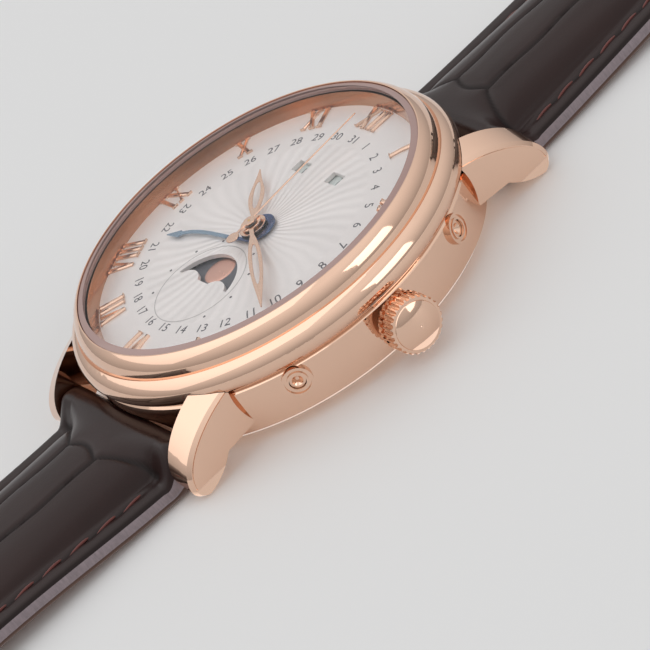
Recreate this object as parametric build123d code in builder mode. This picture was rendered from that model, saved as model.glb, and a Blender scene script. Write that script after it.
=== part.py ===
from build123d import *
from math import atan2, cos, degrees, radians, sin, sqrt
import os

os.makedirs("parts", exist_ok=True)

# The watch lies on its case back: Z up out of the dial, +Y towards 12 o'clock,
# +X towards the crown at 3 o'clock, origin on the resting plane under the dial centre.

# Driving dimensions of the case, in millimetres
bezel_radius = 20.0
band_radius = 19.5
band_chamfer = 0.3
bore_radius = 16.0
seam_height = 5.85
rim_height = 1.05
running_gap = 0.03

# Bezel: a full round below, a groove, and a second step up to the crystal
bezel_bore = 17.3
bezel_foot_radius = 19.3
bezel_belly = (19.82, 6.3)
bezel_widest_height = 6.95
bezel_shoulder = (19.72, 7.85)
bezel_step = (18.95, 8.52)
bezel_groove = (18.76, 8.44)
bezel_upper_round = (18.46, 9.6)
bezel_lip_radius = 17.76

# Crystal and dial
crystal_radius = 17.6
crystal_seat_radius = 17.2
crystal_seat_height = 9.95
crystal_rim_height = 10.35
crystal_top = 10.9
crystal_bottom = 9.45
dome_radius = 16.95
dome_rise = 0.45
dial_top = 8.07
dial_thickness = 0.40
dial_radius = 17.0
dial_hole_radius = 1.25
dial_view_radius = 16.5
flange_top_radius = 16.9

# Case back, pressed up into a shallow recess of the band
back_radius = 17.5
back_edge = 0.35
back_spigot_radius = 16.85
back_spigot_inner = 16.2
back_spigot_height = 0.8
back_plate_height = 1.10
back_ledge_radius = 13.6
back_window_radius = 14.2
back_window_height = 0.92
back_gasket_outer = 17.3
back_gasket_inner = 17.0
back_gasket_thickness = 0.35
key_notches = 6
key_notch_radius = 17.3
key_notch_width = 1.2
key_notch_length = 1.6
key_notch_depth = 0.6

# Lugs and strap bars
lug_inner_x = 11.0
lug_outer_x = 13.58
lug_raise = 1.25
lug_rim = 0.35
lug_rim_depth = 0.30
lug_back_y = 14.3
lug_tip_y = 22.1
lug_shoulder_height = 6.62
lug_bend = (17.2, 6.2)
lug_fall = (21.9, 4.2)
lug_nose_height = 1.35
lug_heel = (20.8, 0.05)
lug_hollow = (18.7, 0.95)
lug_root = (17.4, 1.98)
lug_foot_height = 2.3
lug_groove_inset = 0.12
lug_groove_width = 0.09
lug_groove_depth = 0.08
bar_y = 20.7
bar_height = 2.3
bar_radius = 0.7
bar_pin_radius = 0.40
bar_pin_depth = 1.2
loop_radius = 2.15
recess_radius = loop_radius + 0.3

# Crown
crown_height = 3.55
crown_radius = 2.6
crown_flute_radius = 0.21
crown_flute_offset = 0.02
crown_base_x = 20.15
crown_back_bevel = 0.45
crown_front_bevel = 0.12
crown_waist_x = 20.95
crown_waist_width = 0.45
crown_waist_depth = 0.36
crown_teeth_end_x = 22.75
crown_cap_x = 22.85
crown_top_x = 23.4
crown_teeth = 28
cap_radius = 2.15
crown_bore_radius = 1.35
crown_bore_end_x = 22.15
crown_gasket_x = 20.4
crown_gasket_width = 0.5
tube_radius = 1.0
tube_bore_radius = 0.62
tube_end_x = 21.9

# Winding stem and its two pinions
stem_radius = 0.5
stem_tip_radius = 0.25
stem_neck_radius = 0.3
stem_square = 0.6
stem_tip_x = 4.6
stem_square_x = 5.3
stem_round_x = 7.6
stem_neck_x = 10.6
stem_neck_end_x = 11.6
winding_pinion_x = 7.8
winding_pinion_teeth = 18
winding_pinion_module = 0.145
stem_pinion_length = 1.2
sliding_pinion_x = 5.85
sliding_pinion_radius = 0.75
sliding_groove_x = 6.35
sliding_groove_width = 0.3
sliding_groove_radius = 0.58
sliding_bore = 0.66

# Correctors
corrector_angle = 29.8
corrector_height = 4.35
corrector_head_start = 18.9
corrector_head_end = 19.62
corrector_head_radius = 0.72
corrector_dimple_radius = 0.5
corrector_dimple_depth = 0.4
corrector_dimple_taper = 40
corrector_stem_start = 14.5
corrector_stem_radius = 0.32
corrector_ring = (15.35, 15.65, 0.5)
collar_radius = 1.4
collar_guide_radius = 0.35
collar_guide_length = 1.6
collar_bore_radius = 0.76
collar_end = 19.85
collar_line = (0.95, 1.2)
collar_line_depth = 0.3
spring_start = 17.72
spring_pitch = 0.2
spring_length = 0.5
spring_radius = 0.54
spring_wire_radius = 0.07

# Levels of the movement, from the back up to the dial
rotor_low = 1.25
rotor_plate = 0.25
rotor_weight = 0.75
winding_low = 1.77
winding_high = 2.05
bridge_low = 2.10
jewel_low = 2.30
pivot_low = 2.35
cock_screw_seat = 2.40
screw_seat = 2.42
plate_low = 2.75
fourth_level = 2.85
third_level = 3.07
balance_level = 3.15
centre_level = 3.29
escape_level = 3.60
well_top = 4.2
deep_well_top = 4.4
pivot_high = 4.65
upper_jewel_top = 4.70
barrel_well_top = 5.0
plate_top = 5.30

# Plate, bridge and movement ring
plate_radius = 14.0
bridge_radius = 13.2
ring_outer = 15.95
ring_head_radius = 17.2
ring_lip_radius = 13.6
ring_lip = 0.35
stem_clearance = 0.53
hole_clearance = 0.6
disc_post_radius = 0.35
disc_seat_radius = 0.80
disc_seat_top = 7.15
disc_post_top = 7.60
minute_post_radius = 0.30
minute_post_top = 6.25
rotor_post_radius = 0.8
rotor_post_low = 1.20
crown_wheel_post_radius = 0.6
crown_wheel_post_low = 1.75
jewel_radius = 0.45
pivot_radius = 0.12

# Screws
bridge_screw_directions = (20, 95, 180, 300)
bridge_screw_distance = 12.3
bridge_screw_head = 0.6
bridge_screw_shank = 0.28
bridge_screw_end = 4.0
foot_spread = 8
foot_distance = 13.45
foot_screw_head = 0.32
foot_screw_shank = 0.16
foot_screw_end = 3.6
casing_directions = (60, 180, 300)
casing_screw_head = 0.7
casing_screw_shank = 0.3
casing_screw_end = 4.05
post_screw_shank = 0.3
rotor_screw_head = 1.1
crown_wheel_screw_head = 0.9

# Going train: teeth and modules give the centre distances
barrel_teeth = 80
centre_pinion_teeth = 10
barrel_module = 0.13
centre_teeth = 75
third_pinion_teeth = 10
centre_module = 0.09
third_teeth = 80
fourth_pinion_teeth = 10
third_module = 0.085
fourth_teeth = 72
escape_pinion_teeth = 8
escape_teeth = 20
ratchet_teeth = 56
crown_wheel_teeth = 32
winding_module = 0.146
wheel_thickness = 0.12
spoke_width = 0.35

# Barrel and mainspring
barrel_low = 3.55
barrel_high = 4.95
barrel_radius = 4.9
barrel_wall = 0.25
barrel_floor = 0.15
barrel_rim_low = 4.55
arbor_radius = 0.5
mainspring_turns = 16
mainspring_thickness = 0.12
mainspring_inner = 1.0
mainspring_outer = 4.5

# Escapement and balance
pallet_gap = 2.55
balance_gap = 6.14
escape_rim_radius = 1.65
escape_tip_radius = 2.1
escape_thickness = 0.15
fork_hub_radius = 0.32
fork_arm_angle = 62
fork_arm_length = 1.28
fork_reach = 2.96
fork_notch = 0.9
balance_outer = 3.6
balance_inner = 3.1
balance_rim = 0.3
balance_screws = 8
roller_radius = 0.85
impulse_pin_distance = 0.65
impulse_pin_radius = 0.1
hairspring_level = 2.88
hairspring_height = 0.16
hairspring_width = 0.06
hairspring_turns = 18
hairspring_outer = 2.6

# Rotor
rotor_radius = 13.8
rotor_weight_inner = 11.6
rotor_hub_radius = 2.0
rotor_hub_top = 1.65
rotor_edge_y = 0.6

# Motion works
cannon_teeth = 12
minute_wheel_teeth = 36
cannon_module = 0.125
minute_pinion_teeth = 10
hour_wheel_teeth = 40
hour_module = 0.12
centre_arbor_radius = 0.42
centre_arbor_top = 7.6
centre_bore_radius = 0.2
cannon_radius = 0.62
hour_pipe_radius = 0.86
date_pipe_radius = 1.12
cannon_low = 5.45
hour_wheel_low = 5.88
date_wheel_low = 6.40
motion_wheel_thickness = 0.18

# Calendar discs
date_teeth = 31
date_module = 0.28
moon_teeth = 59
day_teeth = 14
month_teeth = 24
disc_low = 7.25
disc_thickness = 0.20
star_thickness = 0.08
star_pitch_diameter = 4.8
moon_pivot_y = -7.0
moon_disc_radius = 4.27
moon_window_radius = 4.3
moon_window_y = -7.6
hump_radius = 1.75
hump_x = 2.35
hump_y = -7.75
moon_window_floor = -6.75
side_disc_x = 5.7
side_disc_y = 7.0
side_disc_radius = 4.2
side_disc_rise = 0.12
window_x = 2.9
window_y = 7.8
window_width = 2.0
window_height = 1.3

# Applied numerals: upright, slanted and crossed strokes around the dial
numeral_low = 13.7
numeral_high = 16.3
numeral_height = 0.25
numeral_lean = 0.5
stroke = 0.42
numeral_marks = ("XII", "I", "II", "III", "IIII", "V", "VI", "VII", "VIII", "IX", "X", "XI")
mark_widths = {"I": 0.85, "V": 1.75, "X": 1.75}

# Hands, as they stand in the photograph, clockwise from 12
minute_angle = 120.7
hour_angle = 310.0
second_angle = 355.0
date_angle = 249.0
minute_reach = 13.9
minute_width = 1.35
minute_stem = 0.45
minute_belly = 0.48
minute_hub = 1.05
hour_reach = 8.8
hour_width = 1.65
hour_stem = 0.5
hour_belly = 0.52
hour_hub = 1.35
leaf_stem_share = 0.16
leaf_tip_half = 0.06
leaf_opening = (0.24, 0.24)
second_reach = 14.4
second_hub = 0.62
second_tail = 2.2
second_weight_radius = 0.66
date_reach = 11.2
date_line = 0.36
date_bends = ((-1.40, 0.30), (-0.90, 2.75), (-0.05, 6.3), (0.14, 8.6), (0.0, 9.6))
date_tip_base = 9.5
date_tip_half = 0.42
crescent_radius = 1.75
crescent_drop = 0.45
crescent_inner_radius = 1.45
crescent_inner_rise = 0.20
date_hand_level = 8.30
hour_hand_level = 8.60
minute_hand_level = 8.90
second_hand_level = 9.20
hand_thickness = 0.14

# Strap, in line with the lugs
strap_width = 21.5
strap_end_width = 18.0
strap_edge = 1.7
buckle_half_length = 75.0
hole_half_length = 115.0
taper_length = 38.0
stitch_border = 2.9
border_rise = 0.2
crown_start = 4.5
crown_end = 2.7
loop_blend = 3.5
strap_floor = bar_height - loop_radius
keeper_floor = 1.25
arch_rise = 1.3
arch_reach = 24.0
tip_length = 11.0
strap_holes = 7
strap_hole_pitch = 6.5
strap_hole_radius = 0.9
strap_hole_middle = 44.0

# Pin buckle and keepers
buckle_bar_height = 2.5
buckle_bar_radius = 0.6
buckle_pin_radius = 0.35
buckle_loop_radius = 1.25
tongue_slot_width = 2.6
tongue_slot_length = 6.5
frame_width = 22.6
frame_inner = 18.6
frame_thickness = 1.8
frame_corner = 1.2
frame_round = 0.5
frame_back = 1.6
frame_front = 10.5
frame_front_bar = 2.2
tongue_width = 2.0
tongue_loop_radius = 1.15
tongue_rise = 0.95
keeper_length = 5.0
keeper_wall = 0.95
keeper_room = 5.6
keeper_slack = 0.3
fixed_keeper_y = 86.0
free_keeper_y = 68.0

# Places worked out from the dimensions above
barrel_distance = barrel_module * (barrel_teeth + centre_pinion_teeth) / 2
third_distance = centre_module * (centre_teeth + third_pinion_teeth) / 2
escape_distance = third_module * (fourth_teeth + escape_pinion_teeth) / 2
minute_distance = cannon_module * (cannon_teeth + minute_wheel_teeth) / 2
barrel_direction = 65.0
third_direction = -50.0
escape_direction = -140.0
balance_direction = -110.0
crown_wheel_x = 6.1
buckle_bar_y = bar_y + buckle_half_length
tip_y = bar_y + hole_half_length
dial_low = dial_top - dial_thickness
frame_low = buckle_bar_height - frame_thickness / 2
front_y = buckle_bar_y + frame_front


def around(distance, direction, start=(0.0, 0.0)):
    """Point at a distance from a start, in a direction counted from +X."""
    turn = radians(direction)
    return (start[0] + distance * cos(turn), start[1] + distance * sin(turn))


def heading(start, end):
    """Direction from one point to another, in degrees from +X."""
    return degrees(atan2(end[1] - start[1], end[0] - start[0]))


centre_at = (0.0, 0.0)
barrel_at = around(barrel_distance, barrel_direction)
third_at = around(third_distance, third_direction)
escape_at = around(escape_distance, escape_direction)
pallet_at = around(pallet_gap, balance_direction, escape_at)
balance_at = around(balance_gap, balance_direction, escape_at)
minute_wheel_at = (minute_distance, 0.0)
crown_wheel_at = (crown_wheel_x, 0.0)
moon_at = (0.0, moon_pivot_y)
day_at = (-side_disc_x, side_disc_y)
month_at = (side_disc_x, side_disc_y)
balance_heading = heading(centre_at, balance_at)
bridge_screws = [around(bridge_screw_distance, turn) for turn in bridge_screw_directions]
foot_screws = [around(foot_distance, balance_heading + side * foot_spread) for side in (-1, 1)]
casing_screws = [around(plate_radius, turn) for turn in casing_directions]


def level(height, at=centre_at):
    """Horizontal plane at a height, over a point."""
    return Plane(origin=(at[0], at[1], height))


def radial_plane(direction, distance, height):
    """Plane square to a radius of the case, facing outwards."""
    turn = radians(direction)
    outwards = Vector(cos(turn), sin(turn), 0)
    middle = outwards * distance + Vector(0, 0, height)
    return Plane(origin=middle, x_dir=(-sin(turn), cos(turn), 0), z_dir=outwards)


def column(at, low, high, radius, mode=Mode.ADD):
    """Upright cylinder between two heights."""
    with BuildSketch(level(low, at)) as section:
        Circle(radius)
    extrude(section.sketch, amount=high - low, mode=mode)


def sleeve(at, low, high, outer, inner):
    """Upright tube between two heights."""
    with BuildSketch(level(low, at)) as section:
        Circle(outer)
        Circle(inner, mode=Mode.SUBTRACT)
    extrude(section.sketch, amount=high - low)


def radial_column(direction, start, end, radius, height, mode=Mode.ADD):
    """Cylinder along a radius of the case."""
    with BuildSketch(radial_plane(direction, start, height)) as section:
        Circle(radius)
    extrude(section.sketch, amount=end - start, mode=mode)


def cross_bar(y, height, radius, half_length, mode=Mode.ADD):
    """Cylinder along X, as long on one side as on the other."""
    with BuildSketch(Plane.YZ) as section:
        with Locations((y, height)):
            Circle(radius)
    extrude(section.sketch, amount=half_length, both=True, mode=mode)


def toothed_outline(teeth, module, phase):
    """Gear outline with straight-sided teeth, one of them centred at the phase angle."""
    pitch = module * teeth / 2
    root, tip = pitch - 1.30 * module, pitch + 0.85 * module
    step = 360 / teeth
    corners = []
    for tooth in range(teeth):
        middle = phase + tooth * step
        for radius, share in ((root, -0.30), (tip, -0.11), (tip, 0.11), (root, 0.30)):
            corners.append(around(radius, middle + share * step))
    with BuildLine() as outline:
        Polyline(*corners, close=True)
    make_face(outline.edges())


def gear(at, low, high, teeth, module, phase=0.0):
    """Solid gear between two heights."""
    with BuildSketch(level(low, at)) as section:
        toothed_outline(teeth, module, phase)
    extrude(section.sketch, amount=high - low)


def spokes(at, low, high, count, inner, outer, width, phase=0.0):
    """Openings between the spokes of a wheel."""
    with BuildSketch(level(low, at)) as section:
        Circle(outer)
        Circle(inner, mode=Mode.SUBTRACT)
        for spoke in range(count):
            Rectangle(outer, width, rotation=phase + spoke * 360 / count,
                      align=(Align.MIN, Align.CENTER), mode=Mode.SUBTRACT)
    extrude(section.sketch, amount=high - low, mode=Mode.SUBTRACT)


def cap_drop(rim_radius, rise, radius):
    """How far a spherical cap lies below its top at a radius."""
    curve = (rim_radius**2 + rise**2) / (2 * rise)
    return curve - sqrt(curve**2 - radius**2)


def half_turns(start_radius, end_radius, count):
    """Flat spiral made of half circles, each wider than the last."""
    growth = (end_radius - start_radius) / count
    side = 1
    start = Vector(start_radius, 0)
    for turn in range(count):
        radius = start_radius + growth * (turn + 0.5)
        end = start - Vector(side * 2 * radius, 0)
        middle = (start + end) / 2 + Vector(0, side * radius)
        ThreePointArc(start, middle, end)
        start = end
        side = -side


def finish(piece, name):
    """Label a finished piece and write it."""
    piece.part.label = name
    export_step(piece.part, f"parts/{name}.step")


# Case middle: four lugs, the band, and the openings for all that goes through it
def lug_crest(raise_by, inset):
    """Control points of the top edge of a lug, in Y and Z, from the bezel to the nose."""
    lift = raise_by - 0.6 * inset
    return ((lug_back_y, lug_shoulder_height + raise_by - 0.3 * inset),
            (lug_bend[0], lug_bend[1] + lift),
            (lug_fall[0] - 0.8 * inset, lug_fall[1] + lift),
            (lug_tip_y - inset, lug_nose_height + 0.7 * raise_by))


def lug_profile(raise_by, inset):
    """Side view of a lug: the inner face stands higher, the outer one is set in by its rim."""
    crest = lug_crest(raise_by, inset)
    nose = crest[-1]
    heel = (lug_heel[0], lug_heel[1] + 0.5 * raise_by + 0.3 * inset)
    round_share = cos(radians(45))
    tip_middle = (heel[0] + (nose[0] - heel[0]) * round_share,
                  nose[1] + (heel[1] - nose[1]) * round_share)
    with BuildLine() as outline:
        ThreePointArc((lug_back_y - 0.45, lug_foot_height),
                      (lug_back_y + 0.18, (lug_foot_height + lug_shoulder_height) / 2), crest[0])
        Bezier(*crest)
        ThreePointArc(nose, tip_middle, heel)
        Spline(heel, (lug_hollow[0], lug_hollow[1] + 0.2 * raise_by), lug_root)
        Line(lug_root, (lug_back_y - 0.45, lug_foot_height))
    make_face(outline.edges())


with BuildPart() as case_middle:
    with BuildSketch(Plane.YZ.offset(lug_inner_x)):
        lug_profile(lug_raise, 0.0)
    with BuildSketch(Plane.YZ.offset(lug_outer_x - lug_rim_depth)):
        lug_profile(lug_raise * lug_rim_depth / (lug_outer_x - lug_inner_x), 0.0)
    with BuildSketch(Plane.YZ.offset(lug_outer_x)):
        lug_profile(0.0, lug_rim)
    loft(ruled=True)
    with BuildSketch(Plane.YZ.offset(lug_outer_x)):
        with BuildLine():
            Bezier(*lug_crest(0.0, lug_rim + lug_groove_inset))
        trace(line_width=lug_groove_width)
    extrude(amount=-lug_groove_depth, mode=Mode.SUBTRACT)
    mirror(about=Plane.XZ)
    mirror(about=Plane.YZ)
    with BuildSketch(Plane.XZ):
        with BuildLine():
            Polyline((0, rim_height), (band_radius - band_chamfer, rim_height),
                     (band_radius, rim_height + band_chamfer), (band_radius, seam_height - band_chamfer),
                     (band_radius - band_chamfer, seam_height), (0, seam_height), close=True)
        make_face()
    revolve(axis=Axis.Z)
    with BuildSketch(Plane.XZ):
        with BuildLine():
            foot = (bezel_foot_radius + running_gap, seam_height)
            widest = (bezel_radius + running_gap, bezel_widest_height)
            ThreePointArc(foot, (bezel_belly[0] + running_gap, bezel_belly[1]), widest)
            Polyline(widest, (widest[0], crystal_bottom), (0, crystal_bottom), (0, seam_height), foot)
        make_face()
    revolve(axis=Axis.Z, mode=Mode.SUBTRACT)
    column(centre_at, 0, rim_height + back_spigot_height + 0.05, back_spigot_radius + running_gap,
           Mode.SUBTRACT)
    column(centre_at, rim_height, seam_height, bore_radius, mode=Mode.SUBTRACT)
    with BuildSketch(level(rim_height)):
        Circle(back_gasket_outer)
        Circle(back_gasket_inner, mode=Mode.SUBTRACT)
    extrude(amount=back_gasket_thickness, mode=Mode.SUBTRACT)
    for side in (-1, 1):
        cross_bar(side * bar_y, bar_height, recess_radius, lug_inner_x, Mode.SUBTRACT)
        with BuildSketch(Plane.YZ):
            with Locations((side * (bar_y - recess_radius), bar_height)):
                Rectangle(6, 4, align=(Align.MIN if side > 0 else Align.MAX, Align.MAX))
        extrude(amount=lug_inner_x, both=True, mode=Mode.SUBTRACT)
        cross_bar(side * bar_y, bar_height, bar_pin_radius + 0.02, lug_inner_x + bar_pin_depth + 0.1,
                  Mode.SUBTRACT)
    for turn in (corrector_angle, 180 - corrector_angle, 180 + corrector_angle, -corrector_angle):
        radial_column(turn, bore_radius - 1, band_radius + 1, collar_radius, corrector_height, Mode.SUBTRACT)
    radial_column(0, bore_radius - 1, band_radius + 1, tube_radius, crown_height, Mode.SUBTRACT)
finish(case_middle, "case_middle")

with BuildPart() as bezel:
    with BuildSketch(Plane.XZ):
        with BuildLine():
            Line((bezel_bore, seam_height), (bezel_foot_radius, seam_height))
            ThreePointArc((bezel_foot_radius, seam_height), bezel_belly, (bezel_radius, bezel_widest_height))
            ThreePointArc((bezel_radius, bezel_widest_height), bezel_shoulder, bezel_step)
            Line(bezel_step, bezel_groove)
            ThreePointArc(bezel_groove, bezel_upper_round, (bezel_lip_radius, crystal_rim_height))
            Polyline((bezel_lip_radius, crystal_rim_height),
                     (crystal_radius + running_gap, crystal_rim_height),
                     (crystal_radius + running_gap, crystal_bottom), (bezel_bore, crystal_bottom),
                     (bezel_bore, seam_height))
        make_face()
    revolve(axis=Axis.Z)
finish(bezel, "bezel")

with BuildPart() as flange_ring:
    with BuildSketch(Plane.XZ):
        with BuildLine():
            Polyline((dial_view_radius, dial_top), (bezel_bore, dial_top), (bezel_bore, crystal_bottom),
                     (flange_top_radius, crystal_bottom), close=True)
        make_face()
    revolve(axis=Axis.Z)
finish(flange_ring, "flange_ring")

with BuildPart() as crystal:
    with BuildSketch(Plane.XZ):
        with BuildLine():
            Polyline((0, crystal_top), (0, crystal_bottom), (crystal_seat_radius, crystal_bottom),
                     (crystal_seat_radius, crystal_seat_height), (crystal_radius, crystal_seat_height),
                     (crystal_radius, crystal_rim_height - 0.1), (dome_radius, crystal_top - dome_rise))
            ThreePointArc((dome_radius, crystal_top - dome_rise),
                          (dome_radius / 2,
                           crystal_top - cap_drop(dome_radius, dome_rise, dome_radius / 2)),
                          (0, crystal_top))
        make_face()
    revolve(axis=Axis.Z)
finish(crystal, "crystal")

with BuildPart() as crystal_gasket:
    sleeve(centre_at, crystal_bottom, crystal_seat_height, crystal_radius, crystal_seat_radius)
finish(crystal_gasket, "crystal_gasket")

# Case back: flat ring with a window, screwed in from below by its six notches
with BuildPart() as case_back:
    with BuildSketch(Plane.XZ):
        with BuildLine():
            spigot_top = rim_height + back_spigot_height
            Polyline((back_window_radius, 0), (back_radius - back_edge, 0), (back_radius, back_edge),
                     (back_radius, rim_height), (back_spigot_radius, rim_height),
                     (back_spigot_radius, spigot_top), (back_spigot_inner, spigot_top),
                     (back_spigot_inner, back_plate_height), (back_ledge_radius, back_plate_height),
                     (back_ledge_radius, back_window_height), (back_window_radius, back_window_height),
                     close=True)
        make_face()
    revolve(axis=Axis.Z)
    with BuildSketch(level(0)):
        with PolarLocations(key_notch_radius, key_notches, start_angle=30):
            Rectangle(key_notch_width, key_notch_length)
    extrude(amount=key_notch_depth, mode=Mode.SUBTRACT)
finish(case_back, "case_back")

with BuildPart() as back_crystal:
    column(centre_at, 0, back_window_height, back_window_radius)
finish(back_crystal, "back_crystal")

with BuildPart() as case_back_gasket:
    sleeve(centre_at, rim_height, rim_height + back_gasket_thickness, back_gasket_outer, back_gasket_inner)
finish(case_back_gasket, "case_back_gasket")

# Crown with two rows of flutes, its gasket, tube and stem
with BuildPart() as crown:
    crown_axis = Axis((0, 0, crown_height), (1, 0, 0))
    with BuildSketch(radial_plane(0, crown_base_x, crown_height)):
        Circle(crown_radius)
        for tooth in range(crown_teeth):
            with Locations(around(crown_radius + crown_flute_offset, 360 * tooth / crown_teeth)):
                Circle(crown_flute_radius, mode=Mode.SUBTRACT)
    extrude(amount=crown_teeth_end_x - crown_base_x)
    with BuildSketch(Plane.XZ):
        rim = crown_height + crown_radius
        for end_x, bevel in ((crown_base_x, crown_back_bevel), (crown_teeth_end_x, -crown_front_bevel)):
            with BuildLine():
                Polyline((end_x, rim - abs(bevel)), (end_x + bevel, rim), (end_x, rim), close=True)
            make_face()
    revolve(axis=crown_axis, mode=Mode.SUBTRACT)
    with BuildSketch(radial_plane(0, crown_waist_x, crown_height)):
        Circle(crown_radius + 0.2)
        Circle(crown_radius - crown_waist_depth, mode=Mode.SUBTRACT)
    extrude(amount=crown_waist_width, mode=Mode.SUBTRACT)
    with BuildSketch(Plane.XZ):
        with BuildLine():
            cap_base_x = crown_cap_x - 0.2
            Polyline((crown_top_x, crown_height), (cap_base_x, crown_height),
                     (cap_base_x, crown_height + cap_radius + 0.1), (crown_cap_x, crown_height + cap_radius))
            ThreePointArc((crown_cap_x, crown_height + cap_radius),
                          (crown_top_x - cap_drop(cap_radius, crown_top_x - crown_cap_x, cap_radius / 2),
                           crown_height + cap_radius / 2), (crown_top_x, crown_height))
        make_face()
    revolve(axis=crown_axis)
    radial_column(0, crown_base_x - 0.1, crown_bore_end_x, crown_bore_radius, crown_height, Mode.SUBTRACT)
finish(crown, "crown")

with BuildPart() as crown_gasket:
    with BuildSketch(radial_plane(0, crown_gasket_x, crown_height)):
        Circle(crown_bore_radius - running_gap)
        Circle(tube_radius + running_gap, mode=Mode.SUBTRACT)
    extrude(amount=crown_gasket_width)
finish(crown_gasket, "crown_gasket")

with BuildPart() as crown_tube:
    radial_column(0, bore_radius, tube_end_x, tube_radius, crown_height)
    radial_column(0, bore_radius - 1, crown_top_x, tube_bore_radius, crown_height, Mode.SUBTRACT)
finish(crown_tube, "crown_tube")

with BuildPart() as winding_stem:
    radial_column(0, stem_tip_x, stem_square_x, stem_tip_radius, crown_height)
    with BuildSketch(radial_plane(0, stem_square_x, crown_height)):
        Rectangle(stem_square, stem_square)
    extrude(amount=stem_round_x - stem_square_x)
    radial_column(0, stem_round_x, stem_neck_x, stem_radius, crown_height)
    radial_column(0, stem_neck_x, stem_neck_end_x, stem_neck_radius, crown_height)
    radial_column(0, stem_neck_end_x, crown_bore_end_x, stem_radius, crown_height)
finish(winding_stem, "winding_stem")

with BuildPart() as winding_pinion:
    with BuildSketch(radial_plane(0, winding_pinion_x, crown_height)):
        toothed_outline(winding_pinion_teeth, winding_pinion_module, 0)
        Circle(stem_radius + running_gap, mode=Mode.SUBTRACT)
    extrude(amount=stem_pinion_length)
finish(winding_pinion, "winding_pinion")

with BuildPart() as sliding_pinion:
    radial_column(0, sliding_pinion_x, sliding_pinion_x + stem_pinion_length, sliding_pinion_radius,
                  crown_height)
    with BuildSketch(radial_plane(0, sliding_groove_x, crown_height)):
        Circle(sliding_pinion_radius + 0.1)
        Circle(sliding_groove_radius, mode=Mode.SUBTRACT)
    extrude(amount=sliding_groove_width, mode=Mode.SUBTRACT)
    with BuildSketch(radial_plane(0, sliding_pinion_x - 0.1, crown_height)):
        Rectangle(sliding_bore, sliding_bore)
    extrude(amount=stem_pinion_length + 0.2, mode=Mode.SUBTRACT)
finish(sliding_pinion, "sliding_pinion")

# Correctors: a collar in the band, a sprung pin with a dimpled head
corrector_names = {
    "month_corrector": corrector_angle,
    "date_corrector": -corrector_angle,
    "day_corrector": 180 - corrector_angle,
    "moon_corrector": 180 + corrector_angle,
}
for name, turn in corrector_names.items():
    with BuildPart() as corrector:
        radial_column(turn, corrector_head_start, corrector_head_end, corrector_head_radius,
                      corrector_height)
        with BuildSketch(radial_plane(turn, corrector_head_end, corrector_height)):
            Circle(corrector_dimple_radius)
        extrude(amount=-corrector_dimple_depth, taper=corrector_dimple_taper, mode=Mode.SUBTRACT)
        radial_column(turn, corrector_stem_start, corrector_head_start, corrector_stem_radius,
                      corrector_height)
        radial_column(turn, *corrector_ring, corrector_height)
    finish(corrector, name)

with BuildPart() as corrector_collars:
    for turn in corrector_names.values():
        with BuildSketch(radial_plane(turn, bore_radius, corrector_height)):
            Circle(collar_radius)
            Circle(collar_guide_radius, mode=Mode.SUBTRACT)
        extrude(amount=collar_guide_length)
        with BuildSketch(radial_plane(turn, bore_radius + collar_guide_length, corrector_height)):
            Circle(collar_radius)
            Circle(collar_bore_radius, mode=Mode.SUBTRACT)
        extrude(amount=collar_end - bore_radius - collar_guide_length)
        with BuildSketch(radial_plane(turn, collar_end - collar_line_depth / 2, corrector_height)):
            Circle(collar_line[1])
            Circle(collar_line[0], mode=Mode.SUBTRACT)
        extrude(amount=collar_line_depth, mode=Mode.SUBTRACT)
finish(corrector_collars, "corrector_collars")

with BuildPart() as corrector_springs:
    for turn in corrector_names.values():
        start = radial_plane(turn, spring_start, corrector_height)
        with BuildLine() as coil:
            Helix(pitch=spring_pitch, height=spring_length, radius=spring_radius, center=start.origin,
                  direction=start.z_dir)
        with BuildSketch(Plane(origin=coil.line @ 0, z_dir=coil.line % 0)):
            Circle(spring_wire_radius)
        sweep(path=coil.line)
finish(corrector_springs, "corrector_springs")

# Movement ring and main plate
with BuildPart() as movement_ring:
    with BuildSketch(Plane.XZ):
        with BuildLine():
            lower_bore, upper_bore = plate_radius + 0.02, plate_radius + 0.05
            Polyline((lower_bore, plate_low), (ring_outer, plate_low), (ring_outer, seam_height),
                     (ring_head_radius, seam_height), (ring_head_radius, dial_low), (upper_bore, dial_low),
                     (upper_bore, plate_top + ring_lip), (ring_lip_radius, plate_top + ring_lip),
                     (ring_lip_radius, plate_top), (lower_bore, plate_top), close=True)
        make_face()
    revolve(axis=Axis.Z)
    for turn in corrector_names.values():
        radial_column(turn, ring_lip_radius, ring_head_radius + 1, hole_clearance, corrector_height,
                      Mode.SUBTRACT)
    radial_column(0, ring_lip_radius, ring_head_radius + 1, hole_clearance, crown_height, Mode.SUBTRACT)
    for at in casing_screws:
        column(at, plate_low, casing_screw_end, casing_screw_shank, Mode.SUBTRACT)
finish(movement_ring, "movement_ring")

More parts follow.
